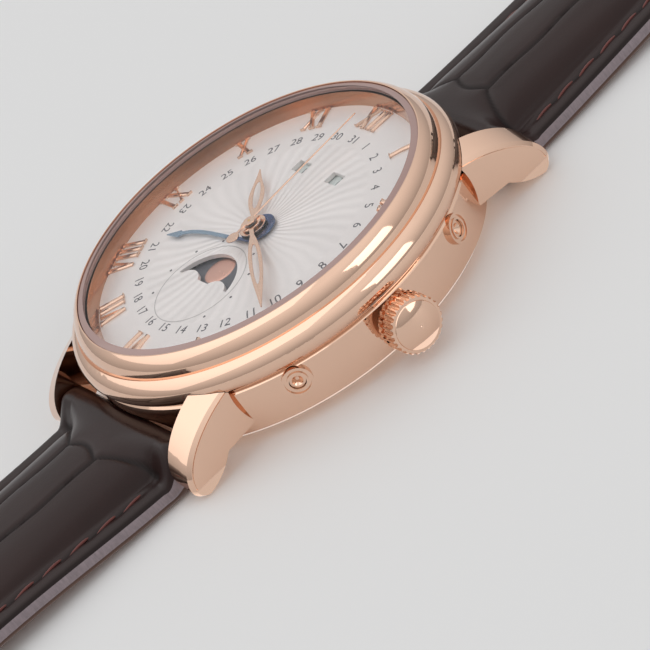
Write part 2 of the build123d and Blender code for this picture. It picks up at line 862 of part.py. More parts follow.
with BuildPart() as main_plate:
    column(centre_at, plate_low, plate_top, plate_radius)
    column(barrel_at, plate_low, barrel_well_top, barrel_radius + 0.6, Mode.SUBTRACT)
    column(centre_at, plate_low, deep_well_top, 3.7, Mode.SUBTRACT)
    column(centre_at, plate_low, barrel_well_top, 1.0, Mode.SUBTRACT)
    column(third_at, plate_low, third_level + 0.38, 3.75, Mode.SUBTRACT)
    column(third_at, plate_low, well_top, 0.8, Mode.SUBTRACT)
    column(escape_at, plate_low, well_top, escape_tip_radius + 0.2, Mode.SUBTRACT)
    column(pallet_at, plate_low, well_top, 1.9, Mode.SUBTRACT)
    column(balance_at, plate_low, deep_well_top, balance_outer + 0.2, Mode.SUBTRACT)
    with BuildSketch(level(plate_low)):
        with Locations((7.4, 0)):
            Rectangle(3.6, 3.2)
    extrude(amount=barrel_well_top - plate_low, mode=Mode.SUBTRACT)
    radial_column(0, 4.0, plate_radius + 1, stem_clearance, crown_height, Mode.SUBTRACT)
    for turn in corrector_names.values():
        radial_column(turn, plate_radius - 1, plate_radius + 1, hole_clearance, corrector_height,
                      Mode.SUBTRACT)
    for at in (third_at, escape_at, pallet_at, balance_at):
        column(at, well_top, upper_jewel_top, jewel_radius, Mode.SUBTRACT)
    column(centre_at, plate_low, plate_top, centre_arbor_radius + running_gap, Mode.SUBTRACT)
    column(barrel_at, plate_low, plate_top, arbor_radius + running_gap, Mode.SUBTRACT)
    for at in bridge_screws:
        column(at, plate_low, bridge_screw_end, bridge_screw_shank, Mode.SUBTRACT)
    for at in foot_screws:
        column(at, plate_low, foot_screw_end, foot_screw_shank, Mode.SUBTRACT)
    for at in casing_screws:
        column(at, plate_low, casing_screw_end, casing_screw_shank, Mode.SUBTRACT)
    column(minute_wheel_at, plate_top, minute_post_top, minute_post_radius)
    for at in (moon_at, day_at, month_at):
        column(at, plate_top, disc_post_top, disc_post_radius)
        column(at, plate_top, disc_seat_top, disc_seat_radius)
finish(main_plate, "main_plate")

with BuildPart() as train_bridge:
    column(centre_at, bridge_low, plate_low, bridge_radius)
    column(balance_at, bridge_low, plate_low, 4.5, Mode.SUBTRACT)
    with BuildSketch(level(bridge_low)):
        with Locations(balance_at):
            Rectangle(9, 9, rotation=balance_heading, align=(Align.MIN, Align.CENTER))
        with Locations((8.4, 0)):
            Rectangle(1.6, 3.2)
    extrude(amount=plate_low - bridge_low, mode=Mode.SUBTRACT)
    column(centre_at, rotor_post_low, bridge_low, rotor_post_radius)
    column(crown_wheel_at, crown_wheel_post_low, bridge_low, crown_wheel_post_radius)
    for at in (centre_at, third_at, escape_at, pallet_at):
        column(at, jewel_low, plate_low, jewel_radius, Mode.SUBTRACT)
    column(barrel_at, bridge_low, plate_low, arbor_radius + running_gap, Mode.SUBTRACT)
    column(centre_at, rotor_post_low, 1.9, post_screw_shank, Mode.SUBTRACT)
    column(crown_wheel_at, crown_wheel_post_low, 2.5, post_screw_shank, Mode.SUBTRACT)
    for at in bridge_screws:
        column(at, bridge_low, screw_seat, bridge_screw_head, Mode.SUBTRACT)
        column(at, screw_seat, plate_low, bridge_screw_shank, Mode.SUBTRACT)
finish(train_bridge, "train_bridge")

with BuildPart() as balance_cock:
    with BuildSketch(level(bridge_low)):
        with Locations(balance_at):
            Circle(1.5)
            Rectangle(4.6, 2.2, rotation=balance_heading, align=(Align.MIN, Align.CENTER))
        with BuildLine():
            foot_inner = [around(13.06, balance_heading + turn) for turn in (-10, 0, 10)]
            foot_outer = [around(13.9, balance_heading + turn) for turn in (-10, 0, 10)]
            ThreePointArc(*foot_inner)
            Line(foot_inner[2], foot_outer[2])
            ThreePointArc(*reversed(foot_outer))
            Line(foot_outer[0], foot_inner[0])
        make_face()
        Circle(13.9, mode=Mode.INTERSECT)
    extrude(amount=plate_low - bridge_low)
    column(balance_at, jewel_low, plate_low, jewel_radius, Mode.SUBTRACT)
    for at in foot_screws:
        column(at, bridge_low, cock_screw_seat, foot_screw_head, Mode.SUBTRACT)
        column(at, cock_screw_seat, plate_low, foot_screw_shank, Mode.SUBTRACT)
finish(balance_cock, "balance_cock")

with BuildPart() as jewels:
    for at in (centre_at, third_at, escape_at, pallet_at, balance_at):
        sleeve(at, jewel_low, plate_low, jewel_radius, pivot_radius + running_gap)
    for at in (third_at, escape_at, pallet_at, balance_at):
        sleeve(at, well_top, upper_jewel_top, jewel_radius, pivot_radius + running_gap)
finish(jewels, "jewels")


def screw(at, head_low, head_high, head_radius, shank_high, shank_radius):
    """Slotted screw driven from the back."""
    column(at, head_low, head_high, head_radius)
    column(at, head_high, shank_high, shank_radius)
    with BuildSketch(level(head_low, at)) as slot:
        Rectangle(2.2 * head_radius, 0.22 * head_radius)
    extrude(slot.sketch, amount=0.1, mode=Mode.SUBTRACT)


with BuildPart() as movement_screws:
    for at in bridge_screws:
        screw(at, bridge_low, screw_seat, bridge_screw_head, bridge_screw_end, bridge_screw_shank)
    for at in foot_screws:
        screw(at, bridge_low, cock_screw_seat, foot_screw_head, foot_screw_end, foot_screw_shank)
    for at in casing_screws:
        screw(at, cock_screw_seat, plate_low, casing_screw_head, casing_screw_end, casing_screw_shank)
    screw(centre_at, rotor_post_low - 0.07, rotor_post_low, rotor_screw_head, 1.9, post_screw_shank)
    screw(crown_wheel_at, crown_wheel_post_low - 0.15, crown_wheel_post_low, crown_wheel_screw_head, 2.5,
          post_screw_shank)
finish(movement_screws, "movement_screws")

# Winding: crown wheel, ratchet wheel on the barrel arbor
winding_heading = heading(barrel_at, crown_wheel_at)
crown_wheel_phase = winding_heading + 180 + 180 / crown_wheel_teeth
with BuildPart() as crown_wheel:
    gear(crown_wheel_at, winding_low, winding_high, crown_wheel_teeth, winding_module, crown_wheel_phase)
    column(crown_wheel_at, winding_low, winding_high, crown_wheel_post_radius + running_gap, Mode.SUBTRACT)
finish(crown_wheel, "crown_wheel")

with BuildPart() as barrel_arbor:
    gear(barrel_at, winding_low, winding_high, ratchet_teeth, winding_module, winding_heading)
    column(barrel_at, winding_high, plate_top - 0.05, arbor_radius)
finish(barrel_arbor, "barrel_arbor")

with BuildPart() as barrel:
    column(barrel_at, barrel_low, barrel_high, barrel_radius)
    gear(barrel_at, barrel_rim_low, barrel_high, barrel_teeth, barrel_module, barrel_direction + 180)
    column(barrel_at, barrel_low + barrel_floor, barrel_high - barrel_floor, barrel_radius - barrel_wall,
           Mode.SUBTRACT)
    column(barrel_at, barrel_low, barrel_high, arbor_radius + running_gap, Mode.SUBTRACT)
finish(barrel, "barrel")

with BuildPart() as mainspring:
    with BuildSketch(level(barrel_low + 0.2, barrel_at)):
        with BuildLine():
            half_turns(mainspring_inner, mainspring_outer, mainspring_turns)
        trace(line_width=mainspring_thickness)
    extrude(amount=barrel_high - barrel_low - 0.4)
finish(mainspring, "mainspring")

# Going train: every wheel rides its own arbor between the bridge and the plate
with BuildPart() as centre_wheel:
    centre_top = centre_level + wheel_thickness
    gear(centre_at, centre_level, centre_top, centre_teeth, centre_module, third_direction)
    spokes(centre_at, centre_level, centre_top, 5, 1.0, 2.9, spoke_width, third_direction)
    column(centre_at, centre_top, barrel_well_top, centre_arbor_radius)
    gear(centre_at, 4.50, barrel_high, centre_pinion_teeth, barrel_module,
         barrel_direction + 180 / centre_pinion_teeth)
    column(centre_at, barrel_well_top, centre_arbor_top, centre_arbor_radius)
    column(centre_at, centre_level, centre_arbor_top, centre_bore_radius, Mode.SUBTRACT)
finish(centre_wheel, "centre_wheel")

with BuildPart() as third_wheel:
    third_top = third_level + wheel_thickness
    gear(third_at, third_level, third_top, third_teeth, third_module, third_direction + 180)
    spokes(third_at, third_level, third_top, 5, 0.9, 2.9, spoke_width)
    column(third_at, 2.80, well_top - 0.05, 0.22)
    gear(third_at, third_top + 0.05, 4.0, third_pinion_teeth, centre_module,
         third_direction + 180 + 180 / third_pinion_teeth)
    column(third_at, pivot_low, pivot_high, pivot_radius)
finish(third_wheel, "third_wheel")

with BuildPart() as fourth_wheel:
    fourth_top = fourth_level + wheel_thickness
    gear(centre_at, fourth_level, fourth_top, fourth_teeth, third_module, escape_direction)
    spokes(centre_at, fourth_level, fourth_top, 5, 0.8, 2.6, spoke_width, escape_direction)
    gear(centre_at, fourth_top, 3.25, fourth_pinion_teeth, third_module,
         third_direction + 180 / fourth_pinion_teeth)
    column(centre_at, pivot_low, second_hand_level + 0.13, pivot_radius)
finish(fourth_wheel, "fourth_wheel")

with BuildPart() as escape_wheel:
    gear(escape_at, 2.80, 3.05, escape_pinion_teeth, third_module,
         escape_direction + 180 + 180 / escape_pinion_teeth)
    column(escape_at, pivot_low, pivot_high, pivot_radius)
    with BuildSketch(level(escape_level, escape_at)):
        Circle(escape_rim_radius + 0.1)
        with BuildLine():
            tooth_points = []
            for tooth in range(escape_teeth):
                middle = 360 * tooth / escape_teeth
                for radius, turn in ((escape_rim_radius, -5), (escape_tip_radius, 2.5),
                                     (escape_tip_radius, 5.5), (escape_rim_radius, 4)):
                    tooth_points.append(around(radius, middle + turn))
            Polyline(*tooth_points, close=True)
        make_face()
    extrude(amount=escape_thickness)
    spokes(escape_at, escape_level, escape_level + escape_thickness, 4, 0.5, 1.45, 0.25)
finish(escape_wheel, "escape_wheel")

with BuildPart() as pallet_fork:
    with BuildSketch(level(escape_level, pallet_at)):
        Circle(fork_hub_radius)
        for side in (-1, 1):
            arm = balance_direction + 180 + side * fork_arm_angle
            Rectangle(fork_arm_length, 0.22, rotation=arm, align=(Align.MIN, Align.CENTER))
            with Locations(around(fork_arm_length - 0.13, arm)):
                Rectangle(0.5, 0.2, rotation=balance_direction + 180 - side * 14,
                          align=(Align.MIN, Align.CENTER))
        Rectangle(fork_reach - 0.3, 0.24, rotation=balance_direction, align=(Align.MIN, Align.CENTER))
        with Locations(around(fork_reach - 0.46, balance_direction)):
            Rectangle(0.46, fork_notch + 0.4, rotation=balance_direction, align=(Align.MIN, Align.CENTER))
        with Locations(around(fork_reach - 0.24, balance_direction)):
            Rectangle(0.3, fork_notch, rotation=balance_direction, align=(Align.MIN, Align.CENTER),
                      mode=Mode.SUBTRACT)
    extrude(amount=escape_thickness)
    column(pallet_at, pivot_low, pivot_high, pivot_radius)
finish(pallet_fork, "pallet_fork")

with BuildPart() as balance_wheel:
    sleeve(balance_at, balance_level, balance_level + balance_rim, balance_outer, balance_inner)
    with BuildSketch(level(balance_level + 0.05, balance_at)):
        with PolarLocations(0, 3, start_angle=balance_direction):
            Rectangle(balance_inner + 0.2, spoke_width, align=(Align.MIN, Align.CENTER))
        Circle(0.55)
    extrude(amount=0.2)
    with BuildSketch(level(balance_level, balance_at)):
        with PolarLocations((balance_outer + balance_inner) / 2, balance_screws,
                            start_angle=balance_direction + 180 / balance_screws):
            Circle(0.12)
    extrude(amount=balance_rim + 0.15)
    column(balance_at, pivot_low, pivot_high, pivot_radius)
    column(balance_at, balance_level + 0.25, escape_level - 0.05, roller_radius)
    column(around(impulse_pin_distance, balance_direction + 180, balance_at), escape_level - 0.05,
           escape_level + 0.25, impulse_pin_radius)
finish(balance_wheel, "balance_wheel")

with BuildPart() as hairspring:
    with BuildSketch(level(hairspring_level, balance_at)):
        with BuildLine():
            half_turns(0.42, hairspring_outer, hairspring_turns)
        trace(line_width=hairspring_width)
        Circle(0.45)
        Circle(pivot_radius, mode=Mode.SUBTRACT)
    extrude(amount=hairspring_height)
finish(hairspring, "hairspring")

# Winding rotor on the post under the bridge, weight towards 6 o'clock at rest
with BuildPart() as rotor:
    with BuildSketch(level(rotor_low)):
        Circle(rotor_radius)
        with Locations((0, rotor_edge_y)):
            Rectangle(30, 15, align=(Align.CENTER, Align.MIN), mode=Mode.SUBTRACT)
        with Locations((0, -7.0)):
            SlotCenterToCenter(9.0, 3.0, mode=Mode.SUBTRACT)
    extrude(amount=rotor_plate)
    with BuildSketch(level(rotor_low)):
        Circle(rotor_radius)
        Circle(rotor_weight_inner, mode=Mode.SUBTRACT)
        with Locations((0, rotor_edge_y)):
            Rectangle(30, 15, align=(Align.CENTER, Align.MIN), mode=Mode.SUBTRACT)
    extrude(amount=rotor_weight)
    column(centre_at, rotor_low, rotor_hub_top, rotor_hub_radius)
    column(centre_at, rotor_low, rotor_hub_top, rotor_post_radius + running_gap, Mode.SUBTRACT)
finish(rotor, "rotor")

# Motion works under the dial
with BuildPart() as cannon_pinion:
    gear(centre_at, cannon_low, cannon_low + 0.30, cannon_teeth, cannon_module, 0)
    column(centre_at, plate_top + 0.06, minute_hand_level + 0.15, cannon_radius)
    column(centre_at, plate_top, minute_hand_level + 0.15, centre_arbor_radius, Mode.SUBTRACT)
finish(cannon_pinion, "cannon_pinion")

with BuildPart() as minute_wheel:
    minute_wheel_low = cannon_low + 0.05
    minute_wheel_top = minute_wheel_low + motion_wheel_thickness
    gear(minute_wheel_at, minute_wheel_low, minute_wheel_top, minute_wheel_teeth, cannon_module,
         180 + 180 / minute_wheel_teeth)
    gear(minute_wheel_at, minute_wheel_top, minute_post_top - 0.10, minute_pinion_teeth, hour_module, 180)
    column(minute_wheel_at, plate_top, minute_post_top, minute_post_radius + running_gap, Mode.SUBTRACT)
finish(minute_wheel, "minute_wheel")

with BuildPart() as hour_wheel:
    gear(centre_at, hour_wheel_low, hour_wheel_low + motion_wheel_thickness, hour_wheel_teeth, hour_module,
         180 / hour_wheel_teeth)
    column(centre_at, hour_wheel_low, hour_hand_level + hand_thickness, hour_pipe_radius)
    column(centre_at, hour_wheel_low, hour_hand_level + hand_thickness, cannon_radius + running_gap,
           Mode.SUBTRACT)
finish(hour_wheel, "hour_wheel")

with BuildPart() as date_wheel:
    date_wheel_top = date_wheel_low + motion_wheel_thickness
    gear(centre_at, date_wheel_low, date_wheel_top, date_teeth, date_module, 0)
    spokes(centre_at, date_wheel_low, date_wheel_top, 4, 1.6, 3.5, 0.5)
    column(centre_at, date_wheel_low, date_hand_level + hand_thickness, date_pipe_radius)
    column(centre_at, date_wheel_low, date_hand_level + hand_thickness, hour_pipe_radius + running_gap,
           Mode.SUBTRACT)
finish(date_wheel, "date_wheel")

with BuildPart() as moon_disc:
    gear(moon_at, disc_low, disc_low + disc_thickness, moon_teeth, 2 * moon_disc_radius / moon_teeth, 0)
    column(moon_at, disc_low, dial_top, disc_post_radius + running_gap, Mode.SUBTRACT)
finish(moon_disc, "moon_disc")

for name, at, teeth in (("day_disc", day_at, day_teeth), ("month_disc", month_at, month_teeth)):
    with BuildPart() as calendar_disc:
        shown_low = disc_low + side_disc_rise
        column(at, shown_low, shown_low + disc_thickness, side_disc_radius)
        gear(at, disc_low - star_thickness, shown_low, teeth, star_pitch_diameter / teeth, 0)
        column(at, disc_low - star_thickness, dial_top, disc_post_radius + running_gap, Mode.SUBTRACT)
    finish(calendar_disc, name)

# Dial with its moon window and two calendar windows
with BuildPart() as dial:
    column(centre_at, dial_low, dial_top, dial_radius)
    column(centre_at, dial_low, dial_top, dial_hole_radius, Mode.SUBTRACT)
    with BuildSketch(level(dial_low)):
        with Locations((0, moon_window_y)):
            Circle(moon_window_radius)
        with Locations((-hump_x, hump_y), (hump_x, hump_y)):
            Circle(hump_radius, mode=Mode.SUBTRACT)
        with Locations((0, moon_window_floor)):
            Rectangle(12, 6, align=(Align.CENTER, Align.MAX), mode=Mode.SUBTRACT)
        with Locations((-window_x, window_y), (window_x, window_y)):
            Rectangle(window_width, window_height)
    extrude(amount=dial_thickness, mode=Mode.SUBTRACT)
finish(dial, "dial")


def numeral_stroke(foot_x, head_x, hour):
    """One straight stroke of a numeral, from its foot near the centre to its head."""
    low, high = Vector(foot_x, numeral_low), Vector(head_x, numeral_high)
    half = Vector(stroke / 2, 0)
    corners = [low - half, low + half, high + half, high - half]
    turned = [corner.rotate(Axis.Z, -30 * hour) for corner in corners]
    with BuildLine() as outline:
        Polyline(*turned, close=True)
    make_face(outline.edges())


with BuildPart() as hour_numerals:
    with BuildSketch(level(dial_top)):
        for hour, mark in enumerate(numeral_marks):
            left = -sum(mark_widths[letter] for letter in mark) / 2
            for letter in mark:
                middle = left + mark_widths[letter] / 2
                foot_lean = numeral_lean if letter == "X" else 0
                if letter == "I":
                    numeral_stroke(middle, middle, hour)
                else:
                    numeral_stroke(middle + foot_lean, middle - numeral_lean, hour)
                    numeral_stroke(middle - foot_lean, middle + numeral_lean, hour)
                left += mark_widths[letter]
    extrude(amount=numeral_height)
finish(hour_numerals, "hour_numerals")


def leaf_outline(reach, width, stem, share):
    """Leaf hand along +Y: narrow stem, belly at a share of the reach, pointed tip."""
    belly = reach * share
    foot = reach * leaf_stem_share
    for side in (-1, 1):
        with BuildLine() as outline:
            Line((0, 0), (side * stem / 2, 0))
            Line((side * stem / 2, 0), (side * stem / 2, foot))
            Spline((side * stem / 2, foot), (side * width / 2, belly), (side * leaf_tip_half, reach),
                   tangents=((side * 0.25, 1), (-side * 0.10, 1)))
            Line((side * leaf_tip_half, reach), (0, reach))
            Line((0, reach), (0, 0))
        make_face(outline.edges())


def leaf_hand(height, angle, reach, width, stem, share, hub, bore):
    """Openworked leaf hand on its hub, turned clockwise from 12."""
    plane = Plane(origin=(0, 0, height)).rotated((0, 0, -angle))
    with BuildSketch(plane) as section:
        leaf_outline(reach, width, stem, share)
        with Locations((0, reach * (share + 0.02))):
            Ellipse(width * leaf_opening[0], reach * leaf_opening[1], mode=Mode.SUBTRACT)
        Circle(hub)
        Circle(bore, mode=Mode.SUBTRACT)
    extrude(section.sketch, amount=hand_thickness)


with BuildPart() as hour_hand:
    leaf_hand(hour_hand_level, hour_angle, hour_reach, hour_width, hour_stem, hour_belly, hour_hub,
              hour_pipe_radius)
finish(hour_hand, "hour_hand")

with BuildPart() as minute_hand:
    leaf_hand(minute_hand_level, minute_angle, minute_reach, minute_width, minute_stem, minute_belly,
              minute_hub, cannon_radius)
finish(minute_hand, "minute_hand")

with BuildPart() as seconds_hand:
    plane = Plane(origin=(0, 0, second_hand_level)).rotated((0, 0, -second_angle))
    with BuildSketch(plane):
        with BuildLine():
            Polyline((-0.13, -second_tail), (0.13, -second_tail), (0.05, second_reach),
                     (-0.05, second_reach), close=True)
        make_face()
        Circle(second_hub)
        with Locations((0, -second_tail)):
            Circle(second_weight_radius)
        Circle(pivot_radius, mode=Mode.SUBTRACT)
    extrude(amount=hand_thickness - 0.02)
finish(seconds_hand, "seconds_hand")

# Serpentine date hand that grows out of one horn of a crescent round the hub
with BuildPart() as date_hand:
    plane = Plane(origin=(0, 0, date_hand_level)).rotated((0, 0, -date_angle))
    with BuildSketch(plane):
        with Locations((0, -crescent_drop)):
            Circle(crescent_radius)
        with Locations((0, crescent_inner_rise)):
            Circle(crescent_inner_radius, mode=Mode.SUBTRACT)
        Circle(hour_hub)
        with BuildLine():
            Spline(*date_bends)
        trace(line_width=date_line)
        with BuildLine():
            Polyline((-date_tip_half, date_tip_base), (0, date_tip_base - 0.4),
                     (date_tip_half, date_tip_base), (0, date_reach), close=True)
        make_face()
        Circle(date_pipe_radius, mode=Mode.SUBTRACT)
    extrude(amount=hand_thickness)
finish(date_hand, "date_hand")

# Spring bars between the lugs
with BuildPart() as strap_spring_bars:
    for side in (-1, 1):
        cross_bar(side * bar_y, bar_height, bar_radius, lug_inner_x - 0.1)
        cross_bar(side * bar_y, bar_height, bar_pin_radius, lug_inner_x + bar_pin_depth)
finish(strap_spring_bars, "strap_spring_bars")


def ease(share):
    """Smooth step from 0 to 1."""
    share = min(max(share, 0.0), 1.0)
    return share * share * (3 - 2 * share)


def strap_section(side, reach):
    """Section of a padded strap half at a distance from its bar: flat underside, thin edges,
    a flat border for the stitches and a crowned middle."""
    taper = min(reach / taper_length, 1.0)
    width = strap_width + (strap_end_width - strap_width) * taper
    edge = strap_edge + (2 * loop_radius - 0.1 - strap_edge) * (1 - ease(reach / loop_blend))
    crown = crown_end + (crown_start - crown_end) * (1 - ease(reach / taper_length))
    if side > 0:
        floor = strap_floor + (keeper_floor - strap_floor) * ease(reach / taper_length)
    else:
        floor = (strap_floor + arch_rise * ease(reach / arch_reach)) * (1 - ease(reach / hole_half_length))
    border = width / 2 - stitch_border
    shoulder = floor + edge + border_rise
    with BuildSketch(Plane.XZ.offset(-side * (bar_y + reach))) as section:
        with BuildLine():
            Polyline((-border, shoulder), (-width / 2, floor + edge), (-width / 2, floor),
                     (width / 2, floor), (width / 2, floor + edge), (border, shoulder))
            ThreePointArc((border, shoulder), (0, floor + max(crown, edge + 0.3)), (-border, shoulder))
        make_face()
    return section.sketch


def strap_body(side, length):
    """Padded strap half, as straight stretches between its sections."""
    tapered = [taper_length * step / 10 for step in range(3, 11)]
    loft([strap_section(side, reach) for reach in (0, 1.5, loop_blend, 7.0, *tapered, length)], ruled=True)


# Buckle half of the strap, towards 12 o'clock
with BuildPart() as buckle_half_strap:
    strap_body(1, buckle_half_length)
    cross_bar(bar_y, bar_height, loop_radius, strap_width / 2)
    cross_bar(bar_y, bar_height, bar_radius + 0.05, strap_width, Mode.SUBTRACT)
    cross_bar(buckle_bar_y, buckle_bar_height, buckle_loop_radius, strap_end_width / 2)
    cross_bar(buckle_bar_y, buckle_bar_height, buckle_bar_radius + running_gap, strap_end_width,
              Mode.SUBTRACT)
    with BuildSketch(level(0)):
        with Locations((0, buckle_bar_y)):
            Rectangle(tongue_slot_width, tongue_slot_length)
    extrude(amount=6, mode=Mode.SUBTRACT)
finish(buckle_half_strap, "buckle_half_strap")

# Hole half of the strap, towards 6 o'clock, with seven holes and a rounded tip
with BuildPart() as hole_half_strap:
    strap_body(-1, hole_half_length)
    cross_bar(-bar_y, bar_height, loop_radius, strap_width / 2)
    cross_bar(-bar_y, bar_height, bar_radius + 0.05, strap_width, Mode.SUBTRACT)
    with BuildSketch(level(-1)):
        with Locations((0, -tip_y)):
            Rectangle(24, 2 * tip_length)
        with Locations((0, -tip_y + tip_length)):
            Ellipse(strap_end_width / 2 + 0.01, tip_length, mode=Mode.SUBTRACT)
    extrude(amount=6, mode=Mode.SUBTRACT)
    with BuildSketch(level(-1)):
        with Locations((0, -tip_y + strap_hole_middle)):
            with GridLocations(0, strap_hole_pitch, 1, strap_holes):
                Circle(strap_hole_radius)
    extrude(amount=8, mode=Mode.SUBTRACT)
finish(hole_half_strap, "hole_half_strap")

# Pin buckle: bar, frame, tongue
with BuildPart() as buckle_bar:
    cross_bar(buckle_bar_y, buckle_bar_height, buckle_bar_radius, frame_inner / 2 - 0.1)
    cross_bar(buckle_bar_y, buckle_bar_height, buckle_pin_radius, frame_inner / 2 + 1.0)
finish(buckle_bar, "buckle_bar")

with BuildPart() as buckle_frame:
    with BuildSketch(level(frame_low)):
        with Locations((0, buckle_bar_y - frame_back)):
            RectangleRounded(frame_width, frame_back + frame_front + frame_front_bar, frame_corner,
                             align=(Align.CENTER, Align.MIN))
            Rectangle(frame_inner, frame_back + frame_front, align=(Align.CENTER, Align.MIN),
                      mode=Mode.SUBTRACT)
    extrude(amount=frame_thickness)
    fillet(buckle_frame.edges().group_by(Axis.Z)[-1], radius=frame_round)
    cross_bar(buckle_bar_y, buckle_bar_height, buckle_pin_radius + running_gap, frame_inner / 2 + 1.1,
              Mode.SUBTRACT)
finish(buckle_frame, "buckle_frame")

with BuildPart() as buckle_tongue:
    cross_bar(buckle_bar_y, buckle_bar_height, tongue_loop_radius, tongue_width / 2)
    with BuildSketch(Plane.YZ):
        with BuildLine():
            tongue_base = buckle_bar_height + frame_thickness / 2 + 0.05
            Polyline((buckle_bar_y, buckle_bar_height),
                     (buckle_bar_y, buckle_bar_height + tongue_loop_radius),
                     (buckle_bar_y + 2.5, tongue_base + tongue_rise + 0.15),
                     (front_y + 1.2, tongue_base + tongue_rise), (front_y + 2.0, tongue_base + 0.3),
                     (front_y + 2.0, tongue_base), (front_y - 0.5, tongue_base),
                     (buckle_bar_y + 3.0, tongue_base - 0.6), (buckle_bar_y + 1.0, buckle_bar_height - 0.4),
                     close=True)
        make_face()
    extrude(amount=tongue_width / 2, both=True)
    cross_bar(buckle_bar_y, buckle_bar_height, buckle_bar_radius + running_gap, tongue_width, Mode.SUBTRACT)
finish(buckle_tongue, "buckle_tongue")

# Keepers: loops round the buckle half, with room for the other half on top
for name, keeper_y in (("fixed_keeper", fixed_keeper_y), ("free_keeper", free_keeper_y)):
    with BuildPart() as keeper:
        with BuildSketch(Plane.XZ.offset(-keeper_y)):
            with Locations((0, keeper_floor - keeper_slack)):
                Rectangle(strap_end_width + 2 * keeper_slack, keeper_room, align=(Align.CENTER, Align.MIN))
            offset(amount=keeper_wall, kind=Kind.ARC)
            with Locations((0, keeper_floor - keeper_slack)):
                Rectangle(strap_end_width + 2 * keeper_slack, keeper_room,
                          align=(Align.CENTER, Align.MIN), mode=Mode.SUBTRACT)
        extrude(amount=keeper_length / 2, both=True)
    finish(keeper, name)
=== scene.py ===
"""Finishes, soft parts and fine detail of a moon phase wristwatch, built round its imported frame."""
import math

import bmesh
import bpy
import numpy as np
from bpy.props import FloatProperty, FloatVectorProperty, IntProperty, PointerProperty
from bpy.types import Operator, Panel, PropertyGroup
from mathutils import Matrix, Vector


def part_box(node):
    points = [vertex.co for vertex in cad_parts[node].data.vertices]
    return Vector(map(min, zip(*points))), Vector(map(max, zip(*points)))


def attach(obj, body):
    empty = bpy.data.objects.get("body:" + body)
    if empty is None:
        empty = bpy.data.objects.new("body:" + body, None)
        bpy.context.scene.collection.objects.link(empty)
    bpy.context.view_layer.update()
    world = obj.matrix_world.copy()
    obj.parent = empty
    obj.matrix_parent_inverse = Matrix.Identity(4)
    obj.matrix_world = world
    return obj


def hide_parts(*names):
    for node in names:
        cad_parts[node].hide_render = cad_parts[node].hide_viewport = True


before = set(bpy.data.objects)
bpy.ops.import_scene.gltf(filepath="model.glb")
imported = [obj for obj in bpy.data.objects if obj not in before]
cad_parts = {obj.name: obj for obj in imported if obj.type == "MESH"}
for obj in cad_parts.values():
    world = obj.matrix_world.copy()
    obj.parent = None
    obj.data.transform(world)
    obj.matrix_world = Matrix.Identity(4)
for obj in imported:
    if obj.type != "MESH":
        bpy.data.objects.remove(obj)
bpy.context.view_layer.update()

bl_info = {
    "name": "Moon Phase Watch",
    "version": (1, 0, 0),
    "blender": (4, 5, 0),
    "location": "3D View > Sidebar > Watch",
    "description": "Gold, dial, strap and movement finishes of a moon phase wristwatch",
    "category": "Add Mesh",
}

MM = 0.001                  # one millimetre in metres
MERGE_WITHIN = 2e-7         # points nearer than this, in metres, become one
SLIVER = 1e-8               # edges shorter than this, in metres, are taken out
FLAT_BELOW = 0.5            # degrees between faces that count as one flat face
SHARP_ABOVE = 35.0          # degrees past which an edge is shaded sharp
BEVEL_ABOVE = 40.0          # degrees past which a metal edge is broken


# Places that follow the solids, in millimetres

MOON_CENTRE = (0.0, -7.0)
STRAP_SPANS = {"buckle": 75.0, "hole": 115.0}
PRINT_LIFT = 0.004          # how far print starts over its ground
PRINT_THICKNESS = 0.008
# Each calendar disc: its centre, the middle of its window, numbers round it, numbers in a cycle and type size
CALENDAR_DISCS = {
    "day": ((-5.7, 7.0), (-2.9, 7.8), 14, 7, 1.0),
    "month": ((5.7, 7.0), (2.9, 7.8), 24, 12, 0.8),
}


# Settings

def length(name, description, millimetres):
    """Length property with its default given in millimetres."""
    return FloatProperty(name=name, description=description, default=millimetres * MM, min=0.0,
                         precision=5, unit="LENGTH", subtype="DISTANCE")


def colour(name, description, red, green, blue):
    """Colour property with its default given as 8-bit screen values, by the usual screen curve."""
    screen = np.array([red, green, blue]) / 255.0
    linear = np.where(screen > 0.04045, ((screen + 0.055) / 1.055) ** 2.4, screen / 12.92)
    return FloatVectorProperty(name=name, description=description, subtype="COLOR", size=3,
                               min=0.0, max=1.0, default=tuple(float(c) for c in linear))


class WatchDialSizes(PropertyGroup):
    """Sizes on the dial."""
    date_ring: length("Date ring", "Radius on which the date numbers are centred", 12.35)
    date_height: length("Date number height", "Height of a date number", 0.95)
    numeral_inner: length("Numeral foot", "Radius of the feet of the hour numerals", 13.7)
    numeral_outer: length("Numeral head", "Radius of the heads of the hour numerals", 16.3)
    numeral_rise: length("Numeral rise", "Height of the hour numerals over the dial", 0.24)
    moon_radius: length("Moon radius", "Radius of each moon on its disc", 1.6)
    moon_orbit: length("Moon orbit", "Distance of the moons from the middle of their disc", 2.3)
    sub_ring: length("Sub ring", "Radius of the printed ring round the moon window", 4.75)
    rays: IntProperty(name="Rays", description="Engraved rays round the dial", default=48, min=12)


